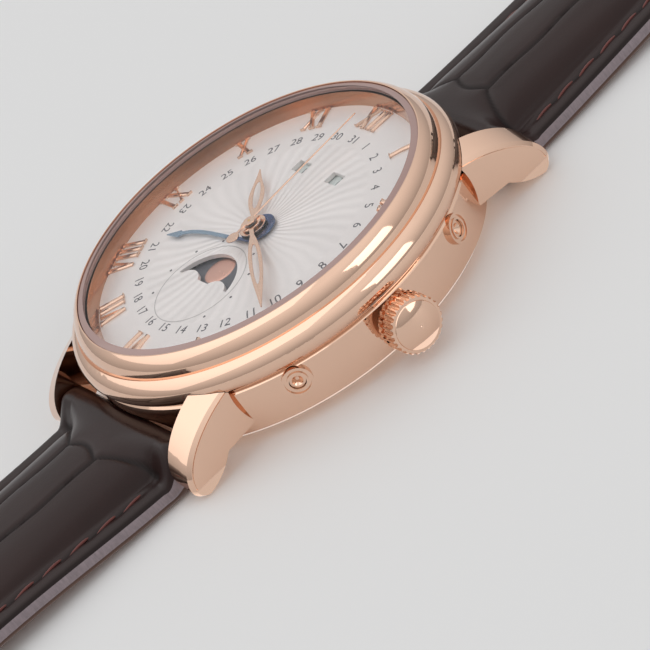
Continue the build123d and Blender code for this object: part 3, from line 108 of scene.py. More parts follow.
class WatchStrapSizes(PropertyGroup):
    """Sizes of the strap halves."""
    lug_width: length("Width at lugs", "Width of the strap between the lugs", 21.5)
    end_width: length("Width at buckle", "Width of the strap past its taper", 18.0)
    taper: length("Taper", "Distance over which the strap narrows", 38.0)
    loop_radius: length("Loop radius", "Radius of the strap's end round its spring bar", 2.15)
    edge: length("Edge", "Thickness of the strap along its edges", 1.7)
    pad_start: length("Padding at lugs", "Thickness in the middle near the lugs", 4.5)
    pad_end: length("Padding at end", "Thickness in the middle past the taper", 2.8)
    border: length("Border", "Flat border outside the padding", 2.9)
    stitch_inset: length("Stitch inset", "Distance of the stitches from the edge", 2.0)
    stitch_pitch: length("Stitch pitch", "Distance from one stitch to the next", 3.0)
    stitch_length: length("Stitch length", "Length of one stitch", 2.6)
    thread: length("Thread", "Radius of the sewing thread", 0.14)
    scale_edge: length("Scale edge", "Half width of the middle row of scales", 2.4)


class WatchColours(PropertyGroup):
    """Colours of the finishes."""
    gold: colour("Rose gold", "Polished rose gold", 238, 200, 176)
    dial: colour("Dial", "Silvered dial", 237, 231, 229)
    print_ink: colour("Ink", "Printed numbers", 70, 68, 76)
    leather: colour("Leather", "Scaled leather", 41, 23, 21)
    edge_paint: colour("Edge paint", "Painted strap edge", 142, 128, 132)
    lining: colour("Lining", "Strap lining", 84, 56, 44)
    thread: colour("Thread", "Sewing thread", 116, 52, 44)
    sky: colour("Moon sky", "Ground of the moon disc", 84, 85, 93)
    # Painted highlight on the date hand towards its tip.
    moon: colour("Moon", "Rose moon", 214, 164, 146)
    blued: colour("Blued steel", "Heat-blued steel", 66, 84, 128)
    pale_blue: colour("Pale blue", "Paler blue towards the tip of the date hand", 132, 154, 172)
    calendar: colour("Calendar discs", "Ground of the day and month discs", 212, 219, 216)
    # Mauve tone of the crystal's ground rim: partly its frosted grind, partly painted reflection of the gold
    # seen through the glass.
    ground_edge: colour("Crystal rim", "Ground edge of the crystal", 176, 140, 132)
    gilt: colour("Gilt", "Gilded brass wheels", 222, 184, 112)
    plate: colour("Plate", "Nickel finish of plate and bridges", 206, 204, 200)


class WatchStageSettings(PropertyGroup):
    """Camera and light."""
    lens: FloatProperty(name="Lens", description="Focal length in millimetres", default=201.29, min=10)
    floor_size: FloatProperty(name="Floor", description="Side of the floor", default=8.0,
                              unit="LENGTH", subtype="DISTANCE")
    contact: FloatProperty(name="Contact", description="How near the floor light passes it from above",
                           default=0.0025, unit="LENGTH", subtype="DISTANCE")
    sky_strength: FloatProperty(name="Sky", description="Light of the room on the object", default=0.55)
    horizon_fall: FloatProperty(name="Horizon", description="How much darker the room is at its horizon",
                                default=0.55, min=0.0, max=1.0)
    key_power: FloatProperty(name="Key", description="Power of the large soft lamp", default=5.0)
    under_power: FloatProperty(name="Under", description="Power of the lamp under the floor", default=0.8)
    fill_power: FloatProperty(name="Fill", description="Power of the low soft lamp", default=1.6)


# Mesh work: surfaces are worked out in millimetres and stored in metres

def grid_quads(rows, columns, wrap_rows=False, wrap_columns=False):
    """Quads between neighbouring points of a grid, closed where it wraps."""
    row = np.arange(rows if wrap_rows else rows - 1)[:, None]
    column = np.arange(columns if wrap_columns else columns - 1)[None, :]
    down, across = (row + 1) % rows, (column + 1) % columns
    corners = (row * columns + column, row * columns + across,
               down * columns + across, down * columns + column)
    return np.stack(np.broadcast_arrays(*corners), axis=-1).reshape(-1, 4)


def link_object(name, data):
    """Object that holds some data, put in the scene."""
    made = bpy.data.objects.new(name, data)
    bpy.context.scene.collection.objects.link(made)
    return made


def drop_slivers(work):
    """Takes out edges and faces that have no size."""
    bmesh.ops.dissolve_degenerate(work, edges=work.edges, dist=SLIVER)


def join_flat_faces(work):
    """Joins neighbouring faces that lie in one plane."""
    bmesh.ops.dissolve_limit(work, angle_limit=math.radians(FLAT_BELOW), verts=work.verts, edges=work.edges)


def close_surface(mesh, simplify=None):
    """Merges a mesh's doubles, makes it simpler where asked and turns its faces outwards."""
    work = bmesh.new()
    work.from_mesh(mesh)
    bmesh.ops.remove_doubles(work, verts=work.verts, dist=MERGE_WITHIN)
    if simplify:
        simplify(work)
    bmesh.ops.recalc_face_normals(work, faces=work.faces)
    work.to_mesh(mesh)
    work.free()


def shade_with_edges(mesh, degrees):
    """Shades a mesh smooth, except at edges that bend by more than an angle."""
    mesh.shade_smooth()
    mesh.set_sharp_from_angle(angle=math.radians(degrees))


def add_piece(name, points, quads, sharp=SHARP_ABOVE, kinds=None, marks=None):
    """Piece from points in millimetres and quads, its doubles merged and its faces turned outwards."""
    mesh = bpy.data.meshes.new(name)
    mesh.from_pydata((np.asarray(points, float).reshape(-1, 3) * MM).tolist(), [], quads.tolist())
    if marks is not None:
        # The crease attribute carries the painted shade of the scaled leather.
        depth = mesh.attributes.new("crease", "FLOAT", "POINT")
        depth.data.foreach_set("value", marks.ravel().astype(np.float32))
    if kinds is not None:
        mesh.polygons.foreach_set("material_index", np.asarray(kinds, np.int32))
    close_surface(mesh, drop_slivers)
    shade_with_edges(mesh, sharp)
    return link_object(name, mesh)


def add_grid(name, grid, wrap_rows=False, wrap_columns=False, **options):
    """Piece from one grid of points."""
    rows, columns = grid.shape[:2]
    return add_piece(name, grid, grid_quads(rows, columns, wrap_rows, wrap_columns), **options)


def add_grids(name, grids, wrap_rows=False, wrap_columns=False, **options):
    """Piece from many grids of one size, as for stitches or strokes."""
    count, rows, columns = grids.shape[:3]
    quads = grid_quads(rows, columns, wrap_rows, wrap_columns)
    shifted = quads[None] + (np.arange(count) * rows * columns)[:, None, None]
    return add_piece(name, grids, shifted.reshape(-1, 4), **options)


def lathe(profile, segments=192):
    """Grid of a profile (radius, height) turned once about Z: each point goes round a circle."""
    profile = np.asarray(profile, float)
    turn = np.linspace(0, 2 * math.pi, segments, endpoint=False)
    radius, height = profile[:, 0][:, None], profile[:, 1][:, None]
    return np.stack([radius * np.cos(turn), radius * np.sin(turn), height + 0 * turn], axis=-1)


def smooth_step(share):
    """Smooth step from 0 to 1: three squares less two cubes."""
    share = np.clip(share, 0.0, 1.0)
    return share * share * (3 - 2 * share)


def round_over(share):
    """Quarter circle: root of one less the square of the share."""
    return np.sqrt(np.maximum(1 - share**2, 0))


def hollow(distance, width):
    """Bell curve round a line: e to the power of minus the squared distance over the width."""
    return np.exp(-((distance / width) ** 2))


def squared_off(wave, power):
    """Sine or cosine made flatter towards 1 and -1: its size raised to a power, its sign kept."""
    return np.sign(wave) * np.abs(wave) ** power


def end_cap(ring):
    """Ring of a grid drawn together to its middle, which closes a tube."""
    return np.repeat(ring.mean(axis=1, keepdims=True), ring.shape[1], axis=1)


def finished_copy(node, name, width, body):
    """Copy of a CAD piece, merged, with its edges broken by a fine bevel of a width in millimetres."""
    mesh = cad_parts[node].data.copy()
    mesh.name = name
    mesh.materials.clear()
    close_surface(mesh, join_flat_faces)
    if mesh.attributes.get("custom_normal"):
        mesh.attributes.remove(mesh.attributes["custom_normal"])
    shade_with_edges(mesh, SHARP_ABOVE)
    piece = link_object(name, mesh)
    bevel = piece.modifiers.new("broken_edge", "BEVEL")
    bevel.width = width * MM
    bevel.segments = 2
    bevel.limit_method = "ANGLE"
    bevel.angle_limit = math.radians(BEVEL_ABOVE)
    bevel.harden_normals = True
    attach(piece, body)
    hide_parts(node)
    return piece


# Shader wiring

class Wiring:
    """Short way to add nodes to a tree and join them."""

    def __init__(self, tree):
        self.tree = tree

    def node(self, kind, **settings):
        """New node with its settings."""
        made = self.tree.nodes.new(kind)
        for key, value in settings.items():
            setattr(made, key, value)
        return made

    def join(self, source, target):
        """Link from one socket to another."""
        self.tree.links.new(source, target)

    def feed(self, socket, value):
        """Joins a socket or sets a plain value."""
        if isinstance(value, bpy.types.NodeSocket):
            self.join(value, socket)
        else:
            socket.default_value = value

    def math(self, operation, *values):
        """Result of one sum on sockets or plain values."""
        made = self.node("ShaderNodeMath", operation=operation)
        for socket, value in zip(made.inputs, values):
            self.feed(socket, value)
        return made.outputs[0]

    def blend(self, share, first, second):
        """Colour between two colours, by share; each is a socket or three plain values."""
        made = self.node("ShaderNodeMix", data_type="RGBA")
        self.feed(made.inputs[0], share)
        for socket, tone in ((made.inputs[6], first), (made.inputs[7], second)):
            self.feed(socket, tone if isinstance(tone, bpy.types.NodeSocket) else (*tone, 1.0))
        return made.outputs[2]

    def noise(self, vector, scale, detail=3.0, rough=0.5):
        """Cloudy noise from 0 to 1."""
        made = self.node("ShaderNodeTexNoise")
        self.join(vector, made.inputs["Vector"])
        for label, value in (("Scale", scale), ("Detail", detail), ("Roughness", rough)):
            made.inputs[label].default_value = value
        return made.outputs["Fac"]

    def spread(self, value, low, high, new_low, new_high):
        """Value carried in a straight line from one range to another and kept inside it."""
        made = self.node("ShaderNodeMapRange")
        for socket, entry in zip(made.inputs, (value, low, high, new_low, new_high)):
            self.feed(socket, entry)
        return made.outputs[0]

    def stretched(self, vector, scale, turn=(0.0, 0.0, 0.0)):
        """Coordinates turned and stretched, which draws noise out into a grain."""
        made = self.node("ShaderNodeMapping")
        self.join(vector, made.inputs["Vector"])
        made.inputs["Scale"].default_value = scale
        made.inputs["Rotation"].default_value = turn
        return made.outputs[0]

    def place(self):
        """Object coordinates of the piece."""
        return self.node("ShaderNodeTexCoord").outputs["Object"]

    def parted(self, vector):
        """X, Y and Z of a vector."""
        made = self.node("ShaderNodeSeparateXYZ")
        self.join(vector, made.inputs[0])
        return tuple(made.outputs)

    def polar(self, vector):
        """Angle and distance about Z: arc tangent of Y over X, and root of X squared plus Y squared."""
        x, y, _ = self.parted(vector)
        square = self.math("MULTIPLY_ADD", y, y, self.math("MULTIPLY", x, x))
        return self.math("ARCTAN2", y, x), self.math("SQRT", square)

    def relief(self, shader, height, strength, reach):
        """Bump on a shader from a height socket, its reach in millimetres."""
        made = self.node("ShaderNodeBump")
        made.inputs["Strength"].default_value = strength
        made.inputs["Distance"].default_value = reach * MM
        self.join(height, made.inputs["Height"])
        self.join(made.outputs["Normal"], shader.inputs["Normal"])

    def show(self, share, first, second, end):
        """Mixes two shaders by share and puts them at the end of the tree."""
        made = self.node("ShaderNodeMixShader")
        for socket, source in zip(made.inputs, (share, first.outputs[0], second.outputs[0])):
            self.join(source, socket)
        self.join(made.outputs[0], self.tree.nodes[end].inputs["Surface"])


def new_group(name, **amounts):
    """Shader group with a place, a bright and a deep colour and its own amounts going in, and a colour, a
    roughness and a height coming out. Returns its wiring, its inner inputs and its results."""
    group = bpy.data.node_groups.new(name, "ShaderNodeTree")
    for label, kind in (("Vector", "NodeSocketVector"), ("Bright", "NodeSocketColor"),
                        ("Deep", "NodeSocketColor")):
        group.interface.new_socket(label, in_out="INPUT", socket_type=kind)
    for label, usual in amounts.items():
        socket = group.interface.new_socket(label, in_out="INPUT", socket_type="NodeSocketFloat")
        socket.default_value = usual
    for label, kind in (("Color", "NodeSocketColor"), ("Roughness", "NodeSocketFloat"),
                        ("Height", "NodeSocketFloat")):
        group.interface.new_socket(label, in_out="OUTPUT", socket_type=kind)
    start = group.nodes.new("NodeGroupInput")
    end = group.nodes.new("NodeGroupOutput")
    return Wiring(group), start.outputs, end.inputs


def new_material(name):
    """Material with nodes. Returns it, its wiring and its Principled shader."""
    material = bpy.data.materials.new(name)
    material.use_nodes = True
    return material, Wiring(material.node_tree), material.node_tree.nodes["Principled BSDF"]


# Shared effects, each a shader group

def polish_group():
    """Hand-polished metal: faint hairlines and soft cloudiness that change colour and gloss a little."""
    wires, given, result = new_group("hand_polish", Gloss=0.06, Wear=0.05)
    place = given["Vector"]
    cloud = wires.noise(place, scale=160.0, detail=4.0)
    one_way = wires.stretched(place, (900.0, 60.0, 500.0), turn=(0.3, 0.2, 0.7))
    other_way = wires.stretched(place, (70.0, 800.0, 300.0), turn=(0.1, 0.5, 0.2))
    crossed = wires.math("MULTIPLY", wires.noise(one_way, scale=3.0, detail=2.0),
                         wires.noise(other_way, scale=3.0, detail=2.0))
    worn = wires.spread(crossed, 0.28, 0.42, 0.0, 1.0)
    wires.join(wires.blend(cloud, given["Deep"], given["Bright"]), result["Color"])
    rough = wires.math("MULTIPLY_ADD", worn, given["Wear"], given["Gloss"])
    wires.join(wires.math("MULTIPLY_ADD", cloud, 0.02, rough), result["Roughness"])
    wires.join(wires.math("MULTIPLY", worn, -1.0), result["Height"])


def brushed_group():
    """Metal brushed straight along one axis: long fine noise across the grain."""
    wires, given, result = new_group("straight_brushing", Gloss=0.25)
    along = wires.stretched(given["Vector"], (60.0, 4000.0, 900.0))
    grain = wires.noise(along, scale=1.0, detail=4.0, rough=0.7)
    wires.join(wires.blend(grain, given["Deep"], given["Bright"]), result["Color"])
    wires.join(wires.math("MULTIPLY_ADD", grain, 0.18, given["Gloss"]), result["Roughness"])
    wires.join(grain, result["Height"])


def circular_group():
    """Circular graining or sunburst: noise that runs along the ring or the ray, by polar angle and radius."""
    wires, given, result = new_group("turned_grain", Gloss=0.22, Ring=9000.0, Ray=2.0)
    turn, radius = wires.polar(given["Vector"])
    joined = wires.node("ShaderNodeCombineXYZ")
    wires.join(wires.math("MULTIPLY", radius, given["Ring"]), joined.inputs[0])
    wires.join(wires.math("MULTIPLY", turn, given["Ray"]), joined.inputs[1])
    grain = wires.noise(joined.outputs[0], scale=1.0, rough=0.65)
    wires.join(wires.blend(grain, given["Deep"], given["Bright"]), result["Color"])
    wires.join(wires.math("MULTIPLY_ADD", grain, 0.15, given["Gloss"]), result["Roughness"])
    wires.join(grain, result["Height"])


def leather_group():
    """Glazed hide: pores, fine creases and broad colour change."""
    wires, given, result = new_group("glazed_hide", Gloss=0.3, Pores=2200.0)
    place = given["Vector"]
    broad = wires.noise(place, scale=150.0, detail=4.0)
    fine = wires.noise(place, scale=3500.0)
    pores = wires.node("ShaderNodeTexVoronoi", feature="DISTANCE_TO_EDGE")
    wires.join(place, pores.inputs["Vector"])
    wires.join(given["Pores"], pores.inputs["Scale"])
    crease = wires.spread(pores.outputs["Distance"], 0.0, 0.12, 0.0, 1.0)
    wires.join(wires.blend(broad, given["Deep"], given["Bright"]), result["Color"])
    wires.join(wires.math("MULTIPLY_ADD", broad, 0.14, given["Gloss"]), result["Roughness"])
    wires.join(wires.math("MULTIPLY_ADD", fine, 0.35, crease), result["Height"])


# Materials

def finish(name, group, tones, amounts, metallic=0.0, relief=None, centre=None, **plain):
    """Material made of a shared effect and a Principled shader with plain values of its own. Tones are a
    bright and a deep colour, relief is a strength and a reach, and the pattern goes round the centre."""
    material, wires, shader = new_material(name)
    vector = wires.place()
    if centre is not None:
        shift = wires.node("ShaderNodeMapping")
        shift.inputs["Location"].default_value = (-centre[0] * MM, -centre[1] * MM, 0.0)
        wires.join(vector, shift.inputs["Vector"])
        vector = shift.outputs[0]
    effect = wires.node("ShaderNodeGroup", node_tree=bpy.data.node_groups[group])
    wires.join(vector, effect.inputs["Vector"])
    for label, tone in zip(("Bright", "Deep"), tones):
        effect.inputs[label].default_value = (*tone, 1.0)
    for label, value in amounts.items():
        effect.inputs[label].default_value = value
    wires.join(effect.outputs["Color"], shader.inputs["Base Color"])
    wires.join(effect.outputs["Roughness"], shader.inputs["Roughness"])
    shader.inputs["Metallic"].default_value = metallic
    for label, value in plain.items():
        shader.inputs[label.replace("_", " ")].default_value = value
    if relief:
        wires.relief(shader, effect.outputs["Height"], *relief)
    return material


def opened(material):
    """Wiring, Principled shader and shared effect of a finish, for a change of its own."""
    nodes = material.node_tree.nodes
    effect = next(node for node in nodes if node.bl_idname == "ShaderNodeGroup")
    return Wiring(material.node_tree), nodes["Principled BSDF"], effect


def shade(tone, factor):
    """Colour made darker or lighter by a factor."""
    return tuple(min(1.0, float(c) * factor) for c in tone)


def pair(tone, bright, deep):
    """Bright and deep tone of one colour."""
    return shade(tone, bright), shade(tone, deep)


def give(material, *nodes):
    """Puts a material on CAD nodes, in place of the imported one."""
    for node in nodes:
        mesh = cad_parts[node].data
        mesh.materials.clear()
        mesh.materials.append(material)


def dress(piece, *materials, body=None, slot=None):
    """Gives a new piece its materials and its body; slot is not used."""
    for material in materials:
        piece.data.materials.append(material)
    if body:
        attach(piece, body)


def gold_finishes(colours):
    """Rose gold as it is polished, turned, left on the flange and worked on hands and numerals."""
    gold = tuple(colours.gold)
    flange_tones = ((0.60, 0.31, 0.18), (0.47, 0.24, 0.14))
    return {
        "polished_gold": finish("polished_rose_gold", "hand_polish", (gold, shade(gold, 0.94)),
                                {"Gloss": 0.05, "Wear": 0.05}, metallic=1.0, relief=(0.04, 0.004)),
        "satin_gold": finish("satin_rose_gold", "turned_grain", (gold, shade(gold, 0.80)),
                             {"Gloss": 0.20}, metallic=1.0, relief=(0.15, 0.01)),
        "flange_gold": finish("flange_rose_gold", "hand_polish", flange_tones,
                              {"Gloss": 0.20, "Wear": 0.02}, metallic=1.0),
        "hand_gold": finish("hand_rose_gold", "hand_polish", pair(gold, 0.96, 0.84),
                            {"Gloss": 0.12, "Wear": 0.03}, metallic=1.0),
        "crown_gold": satin_backed(gold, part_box("crown")[0].x),
    }


def movement_finishes(colours):
    """Steel, gilt and ruby of the movement, and the rubber of the gaskets."""
    gilt, blued = tuple(colours.gilt), tuple(colours.blued)
    turned_tones = ((0.62, 0.62, 0.64), (0.42, 0.42, 0.44))
    black_polish_tones = ((0.70, 0.70, 0.72), (0.55, 0.55, 0.58))
    ruby_tones = ((0.72, 0.03, 0.12), (0.45, 0.01, 0.06))
    rubber_tones = ((0.02, 0.02, 0.022), (0.012, 0.012, 0.014))
    return {
        "blued": finish("blued_steel", "hand_polish", (blued, shade(blued, 0.6)),
                        {"Gloss": 0.18, "Wear": 0.03}, metallic=1.0),
        # Date hand with painted shade at the hub and a painted highlight towards the tip.
        "date_blue": tinted_outwards(blued, tuple(colours.pale_blue)),
        "steel": finish("turned_steel", "turned_grain", turned_tones,
                        {"Gloss": 0.20}, metallic=1.0, relief=(0.2, 0.01)),
        "bright_steel": finish("black_polished_steel", "hand_polish", black_polish_tones,
                               {"Gloss": 0.08, "Wear": 0.04}, metallic=1.0),
        "gilt": finish("gilded_wheels", "turned_grain", (gilt, shade(gilt, 0.72)),
                       {"Gloss": 0.20}, metallic=1.0, relief=(0.2, 0.01)),
        "ruby": finish("ruby", "hand_polish", ruby_tones,
                       {"Gloss": 0.08, "Wear": 0.0}, Coat_Weight=0.6, Specular_IOR_Level=0.7),
        "rubber": finish("gasket_rubber", "glazed_hide", rubber_tones, {"Gloss": 0.6}),
    }


def dial_finishes(colours):
    """Inks, discs and moons under the crystal, and the crystal's own two surfaces."""
    disc, sky, moon = tuple(colours.calendar), tuple(colours.sky), tuple(colours.moon)
    rim = tuple(colours.ground_edge)
    return {
        "ink": finish("dial_ink", "hand_polish", pair(colours.print_ink, 1.0, 0.8),
                      {"Gloss": 0.45, "Wear": 0.0}),
        "pale_ink": finish("pale_ink", "hand_polish", pair(colours.dial, 0.62, 0.55),
                           {"Gloss": 0.45, "Wear": 0.0}),
        "disc": finish("disc_ground", "turned_grain", (disc, shade(disc, 0.93)), {"Gloss": 0.40}),
        "sky": finish("moon_sky", "turned_grain", (sky, shade(sky, 0.7)),
                      {"Gloss": 0.35}, metallic=0.3, centre=MOON_CENTRE),
        "moon": finish("rose_moon", "hand_polish", (moon, shade(moon, 0.85)),
                       {"Gloss": 0.25, "Wear": 0.02}, metallic=0.6),
        "sapphire": sapphire(),
        # Rim colour: frosted grind together with painted reflection of the gold seen through the glass.
        "ground_edge": finish("ground_rim_painted_reflection", "hand_polish", (rim, shade(rim, 0.86)),
                              {"Gloss": 0.22, "Wear": 0.02}, Coat_Weight=0.5),
    }


def strap_finishes(colours):
    """Leather, edge paint, lining and thread."""
    return {
        "leather": glazed_leather("glazed_leather", colours),
        "scaled_leather": creased_leather(colours),
        "edge_paint": finish("edge_paint", "straight_brushing", pair(colours.edge_paint, 1.25, 0.5),
                             {"Gloss": 0.5}, relief=(0.5, 0.05)),
        "lining": finish("lining_leather", "glazed_hide", pair(colours.lining, 1.0, 0.8),
                         {"Gloss": 0.55, "Pores": 3000.0}, relief=(0.2, 0.03)),
        "thread": finish("sewing_thread", "straight_brushing", pair(colours.thread, 1.0, 0.55),
                         {"Gloss": 0.55}, relief=(0.3, 0.03), Sheen_Weight=0.2),
    }


def satin_backed(gold, back):
    """Polished gold that is left satin on the back of the crown, the face towards the case."""
    bright_from, satin_to, satin = 0.30 * MM, 0.10 * MM, 0.45
    material = finish("crown_rose_gold", "hand_polish", (gold, shade(gold, 0.94)),
                      {"Gloss": 0.06, "Wear": 0.05}, metallic=1.0)
    wires, shader, effect = opened(material)
    along, _, _ = wires.parted(wires.place())
    behind = wires.spread(along, back + satin_to, back + bright_from, 1.0, 0.0)
    wires.join(wires.math("MULTIPLY_ADD", behind, satin, effect.outputs["Roughness"]),
               shader.inputs["Roughness"])
    return material


def tinted_outwards(blued, pale_blue):
    """Blued steel painted darker near the hub and paler with the distance from it: painted shade on the
    counterweight crescent and a painted highlight along the hand.
    """
    deep_to, pale_from = 1.8 * MM, 3.4 * MM
    material = finish("blued_steel_painted_shade_and_highlight", "hand_polish", (blued, shade(blued, 0.7)),
                      {"Gloss": 0.20, "Wear": 0.02}, metallic=1.0)
    wires, shader, effect = opened(material)
    _, radius = wires.polar(wires.place())
    outwards = wires.spread(radius, deep_to, pale_from, 0.0, 1.0)
    wires.join(wires.blend(outwards, effect.outputs["Color"], pale_blue), shader.inputs["Base Color"])
    return material


def glazed_leather(name, colours):
    """Leather with pores under a thin glaze."""
    return finish(name, "glazed_hide", pair(colours.leather, 1.25, 0.7), {"Gloss": 0.24, "Pores": 1500.0},
                  relief=(0.10, 0.03), Coat_Weight=0.07, Coat_Roughness=0.15, Specular_IOR_Level=0.20)


def creased_leather(colours):
    """Glazed leather with painted shade down in the grooves, the sunk seam and the turned-down edge, where it
    is also duller; the mesh marks these places with its own attribute.
    """
    painted_shade, dulled = 0.25, 0.35
    material = glazed_leather("scaled_leather", colours)
    wires, shader, effect = opened(material)
    mark = wires.node("ShaderNodeAttribute", attribute_name="crease").outputs["Fac"]
    # Painted shade: the leather turns darker where the crease mask marks grooves, seam and edge.
    wires.join(wires.blend(mark, effect.outputs["Color"], shade(colours.leather, painted_shade)),
               shader.inputs["Base Color"])
    wires.join(wires.math("MULTIPLY_ADD", mark, dulled, effect.outputs["Roughness"]),
               shader.inputs["Roughness"])
    return material


def sapphire():
    """Clear crystal whose surface shines as sapphire does, while what lies behind keeps its place."""
    material, wires, shader = new_material("sapphire")
    values = {"Base Color": (1.0, 1.0, 1.0, 1.0), "Roughness": 0.0, "Transmission Weight": 1.0, "IOR": 1.08,
              "Coat Weight": 0.3, "Coat Roughness": 0.0, "Coat IOR": 1.5}
    for label, value in values.items():
        shader.inputs[label].default_value = value
    path = wires.node("ShaderNodeLightPath")
    passing = wires.math("MAXIMUM", path.outputs["Is Shadow Ray"], path.outputs["Is Diffuse Ray"])
    wires.show(passing, shader, wires.node("ShaderNodeBsdfTransparent"), "Material Output")
    return material


FINISHES = {}


# Strap surface

class StrapHalf:
    """One strap half as a set of formulas in millimetres: x goes across it, and reach counts outwards from
    its spring bar. The side is 1 towards 12 o'clock and -1 towards 6 o'clock."""

    bar_y, bar_z = 20.7, 2.3
    tip = 11.0                                  # length of the long half's rounded end
    short_floor = 1.25                          # height of the short half's underside past its taper
    long_rise, long_rise_run = 1.3, 24.0        # lift of the long half's underside and how soon it comes
    loop_run = 2.6                              # distance over which the loop thins to the edge
    tip_run, end_gap, end_run = 14.0, 4.0, 8.0  # where padding and scales fade at the two far ends
    dome_fall, dome_power = 2.6, 0.75           # how square the padding is across the strap
    seam_wave, seam_rate = 0.10, 2.09           # how far the seam waves, and how fast
    seam_depth, seam_width = 0.20, 0.32
    seam_start, seam_run = 3.0, 2.0
    groove_depth, groove_width = 0.24, 0.24
    hollow_depth, hollow_width = 0.12, 1.0      # wide shallow hollow on both sides of a groove
    border_gap, border_run = 0.3, 0.8           # how grooves fade at the seam
    groove_start = 1.5                          # reach by which the grooves have their full depth
    row_start, row_step, row_power = 4.0, 17.0, 0.8     # places of the cross grooves
    row_count, outer_lag = 11, 0.45
    out_of_reach, blend_width = 6.0, 0.5

    def __init__(self, sizes, side, span):
        self.side = side
        self.span = span
        self.loop = sizes.loop_radius / MM
        self.lug_width, self.end_width = sizes.lug_width / MM, sizes.end_width / MM
        self.taper = sizes.taper / MM
        self.edge_thick = sizes.edge / MM
        self.pad_start, self.pad_end = sizes.pad_start / MM, sizes.pad_end / MM
        self.border = sizes.border / MM
        self.inset = sizes.stitch_inset / MM
        self.scale_edge = sizes.scale_edge / MM

    def floor(self, reach):
        """Height of the underside: a gentle rise from the bar, back to the table at the long half's tip."""
        start = self.bar_z - self.loop
        if self.side > 0:
            return start + (self.short_floor - start) * smooth_step(reach / self.taper)
        rise = start + self.long_rise * smooth_step(reach / self.long_rise_run)
        return rise * (1 - smooth_step(reach / self.span))

    def half_width(self, reach):
        """Half the width: straight taper, then constant, with an elliptical tip on the long half."""
        wide = self.lug_width + (self.end_width - self.lug_width) * np.clip(reach / self.taper, 0, 1)
        if self.side < 0:
            wide = wide * round_over(np.clip((reach - self.span + self.tip) / self.tip, 0, 1))
        return wide / 2

    def safe_half(self, reach):
        """Half the width, kept over nothing so that it can be divided by."""
        return np.maximum(self.half_width(reach), 1e-3)

    def edge(self, reach):
        """Thickness at the edge: full loop height at the bar, thin beyond it."""
        extra = 2 * self.loop - self.edge_thick
        return self.edge_thick + extra * (1 - smooth_step(reach / self.loop_run))

    def pad(self, reach):
        """Thickness in the middle, from the lug end to the far end."""
        return self.pad_end + (self.pad_start - self.pad_end) * (1 - smooth_step(reach / self.taper))

    def lane(self, x, reach):
        """Distance of the long grooves from the middle: two slow waves on the edge of the middle row."""
        wide, slow, side_shift = 0.30, 0.19, 0.9
        small, quick = 0.12, 0.71
        broad_wave = wide * np.sin(slow * reach + side_shift * np.sign(x))
        return self.scale_edge + broad_wave + small * np.sin(quick * reach)

    def first_arch(self, x, inside):
        """Reach of the arched ends of the first scales: deeper towards the middle on the sides, and a low
        cosine bow on the middle row."""
        side_start, side_depth, side_edge, side_run = 1.9, 2.2, 7.6, 5.2
        middle_start, middle_bow = 4.1, 0.7
        side = side_start + side_depth * np.clip((side_edge - np.abs(x)) / side_run, 0, 1) ** 1.5
        middle = middle_start - middle_bow * np.cos(np.clip(x / self.scale_edge, -1, 1) * math.pi / 2)
        return side * (1 - inside) + middle * inside

    def cross_distance(self, x, reach, lane, inside):
        """Distance to the nearest cross groove: bowed ones on the middle row, slanted ones beside it. Their
        places are the start plus the step times the number of the row raised to a power."""
        bow_size, side_shift, bend, seam_gap = 0.5, 0.4, 0.5, 2.4
        across = np.abs(x)
        bow = bow_size * np.cos(np.clip(x / lane, -1, 1) * math.pi / 2)
        past_seam = 2 * smooth_step((across - self.half_width(reach) + seam_gap) / self.border_run)
        nearest = np.full(np.broadcast(x, reach).shape, np.inf)
        for row in range(1, self.row_count + 1):
            middle = np.abs(reach - self.row_start - self.row_step * row**self.row_power - bow)
            lagging = self.row_start + self.row_step * (row + self.outer_lag) ** self.row_power
            outer = np.abs(reach - (lagging + side_shift * np.sign(x) + bend * np.sin(across)))
            middle = middle + self.out_of_reach * (1 - inside)
            nearest = np.minimum(nearest, np.minimum(middle, outer + self.out_of_reach * inside + past_seam))
        return nearest

    def groove_distance(self, x, reach):
        """Distance to the nearest groove: long ones beside the middle row, cross ones between scales, and the
        arched ends of the first scales."""
        lane = self.lane(x, reach)
        inside = smooth_step((lane - np.abs(x)) / self.blend_width + 0.5)
        arch = self.first_arch(x, inside)
        before = 4 * (1 - smooth_step((reach - arch) / self.blend_width + 0.6))
        along = np.abs(np.abs(x) - lane) + before
        cross = self.cross_distance(x, reach, lane, inside) + before
        return np.minimum(np.minimum(cross, along), np.abs(reach - arch))

    def seam_distance(self, x, reach):
        """Distance across the strap from the sewn seam, which waves a little from stitch to stitch."""
        wave = self.seam_wave * np.sin(self.seam_rate * reach)
        return self.safe_half(reach) - self.inset - np.abs(x) + wave

    def within_seam(self, x, reach):
        """Share of the grooves that is left across the strap: all inside the seam and none at the edge."""
        room = self.safe_half(reach) - self.inset + self.border_gap - np.abs(x)
        return smooth_step(room / self.border_run + 0.6)

    def tip_fade(self, reach):
        """Share of the relief that is left: none at the rounded tip of the long half."""
        return 1.0 + 0 * reach if self.side > 0 else smooth_step((self.span - reach) / self.tip_run)

    def crease(self, x, reach):
        """How deep a point of the top lies in a groove, in the sunk wavy seam or at the turned-down edge: the
        mask of the leather's painted shade.
        """
        seam_line, turned_line, turned_start = 0.22, 0.4, 1.5
        started = smooth_step((reach - self.seam_start) / self.seam_run)
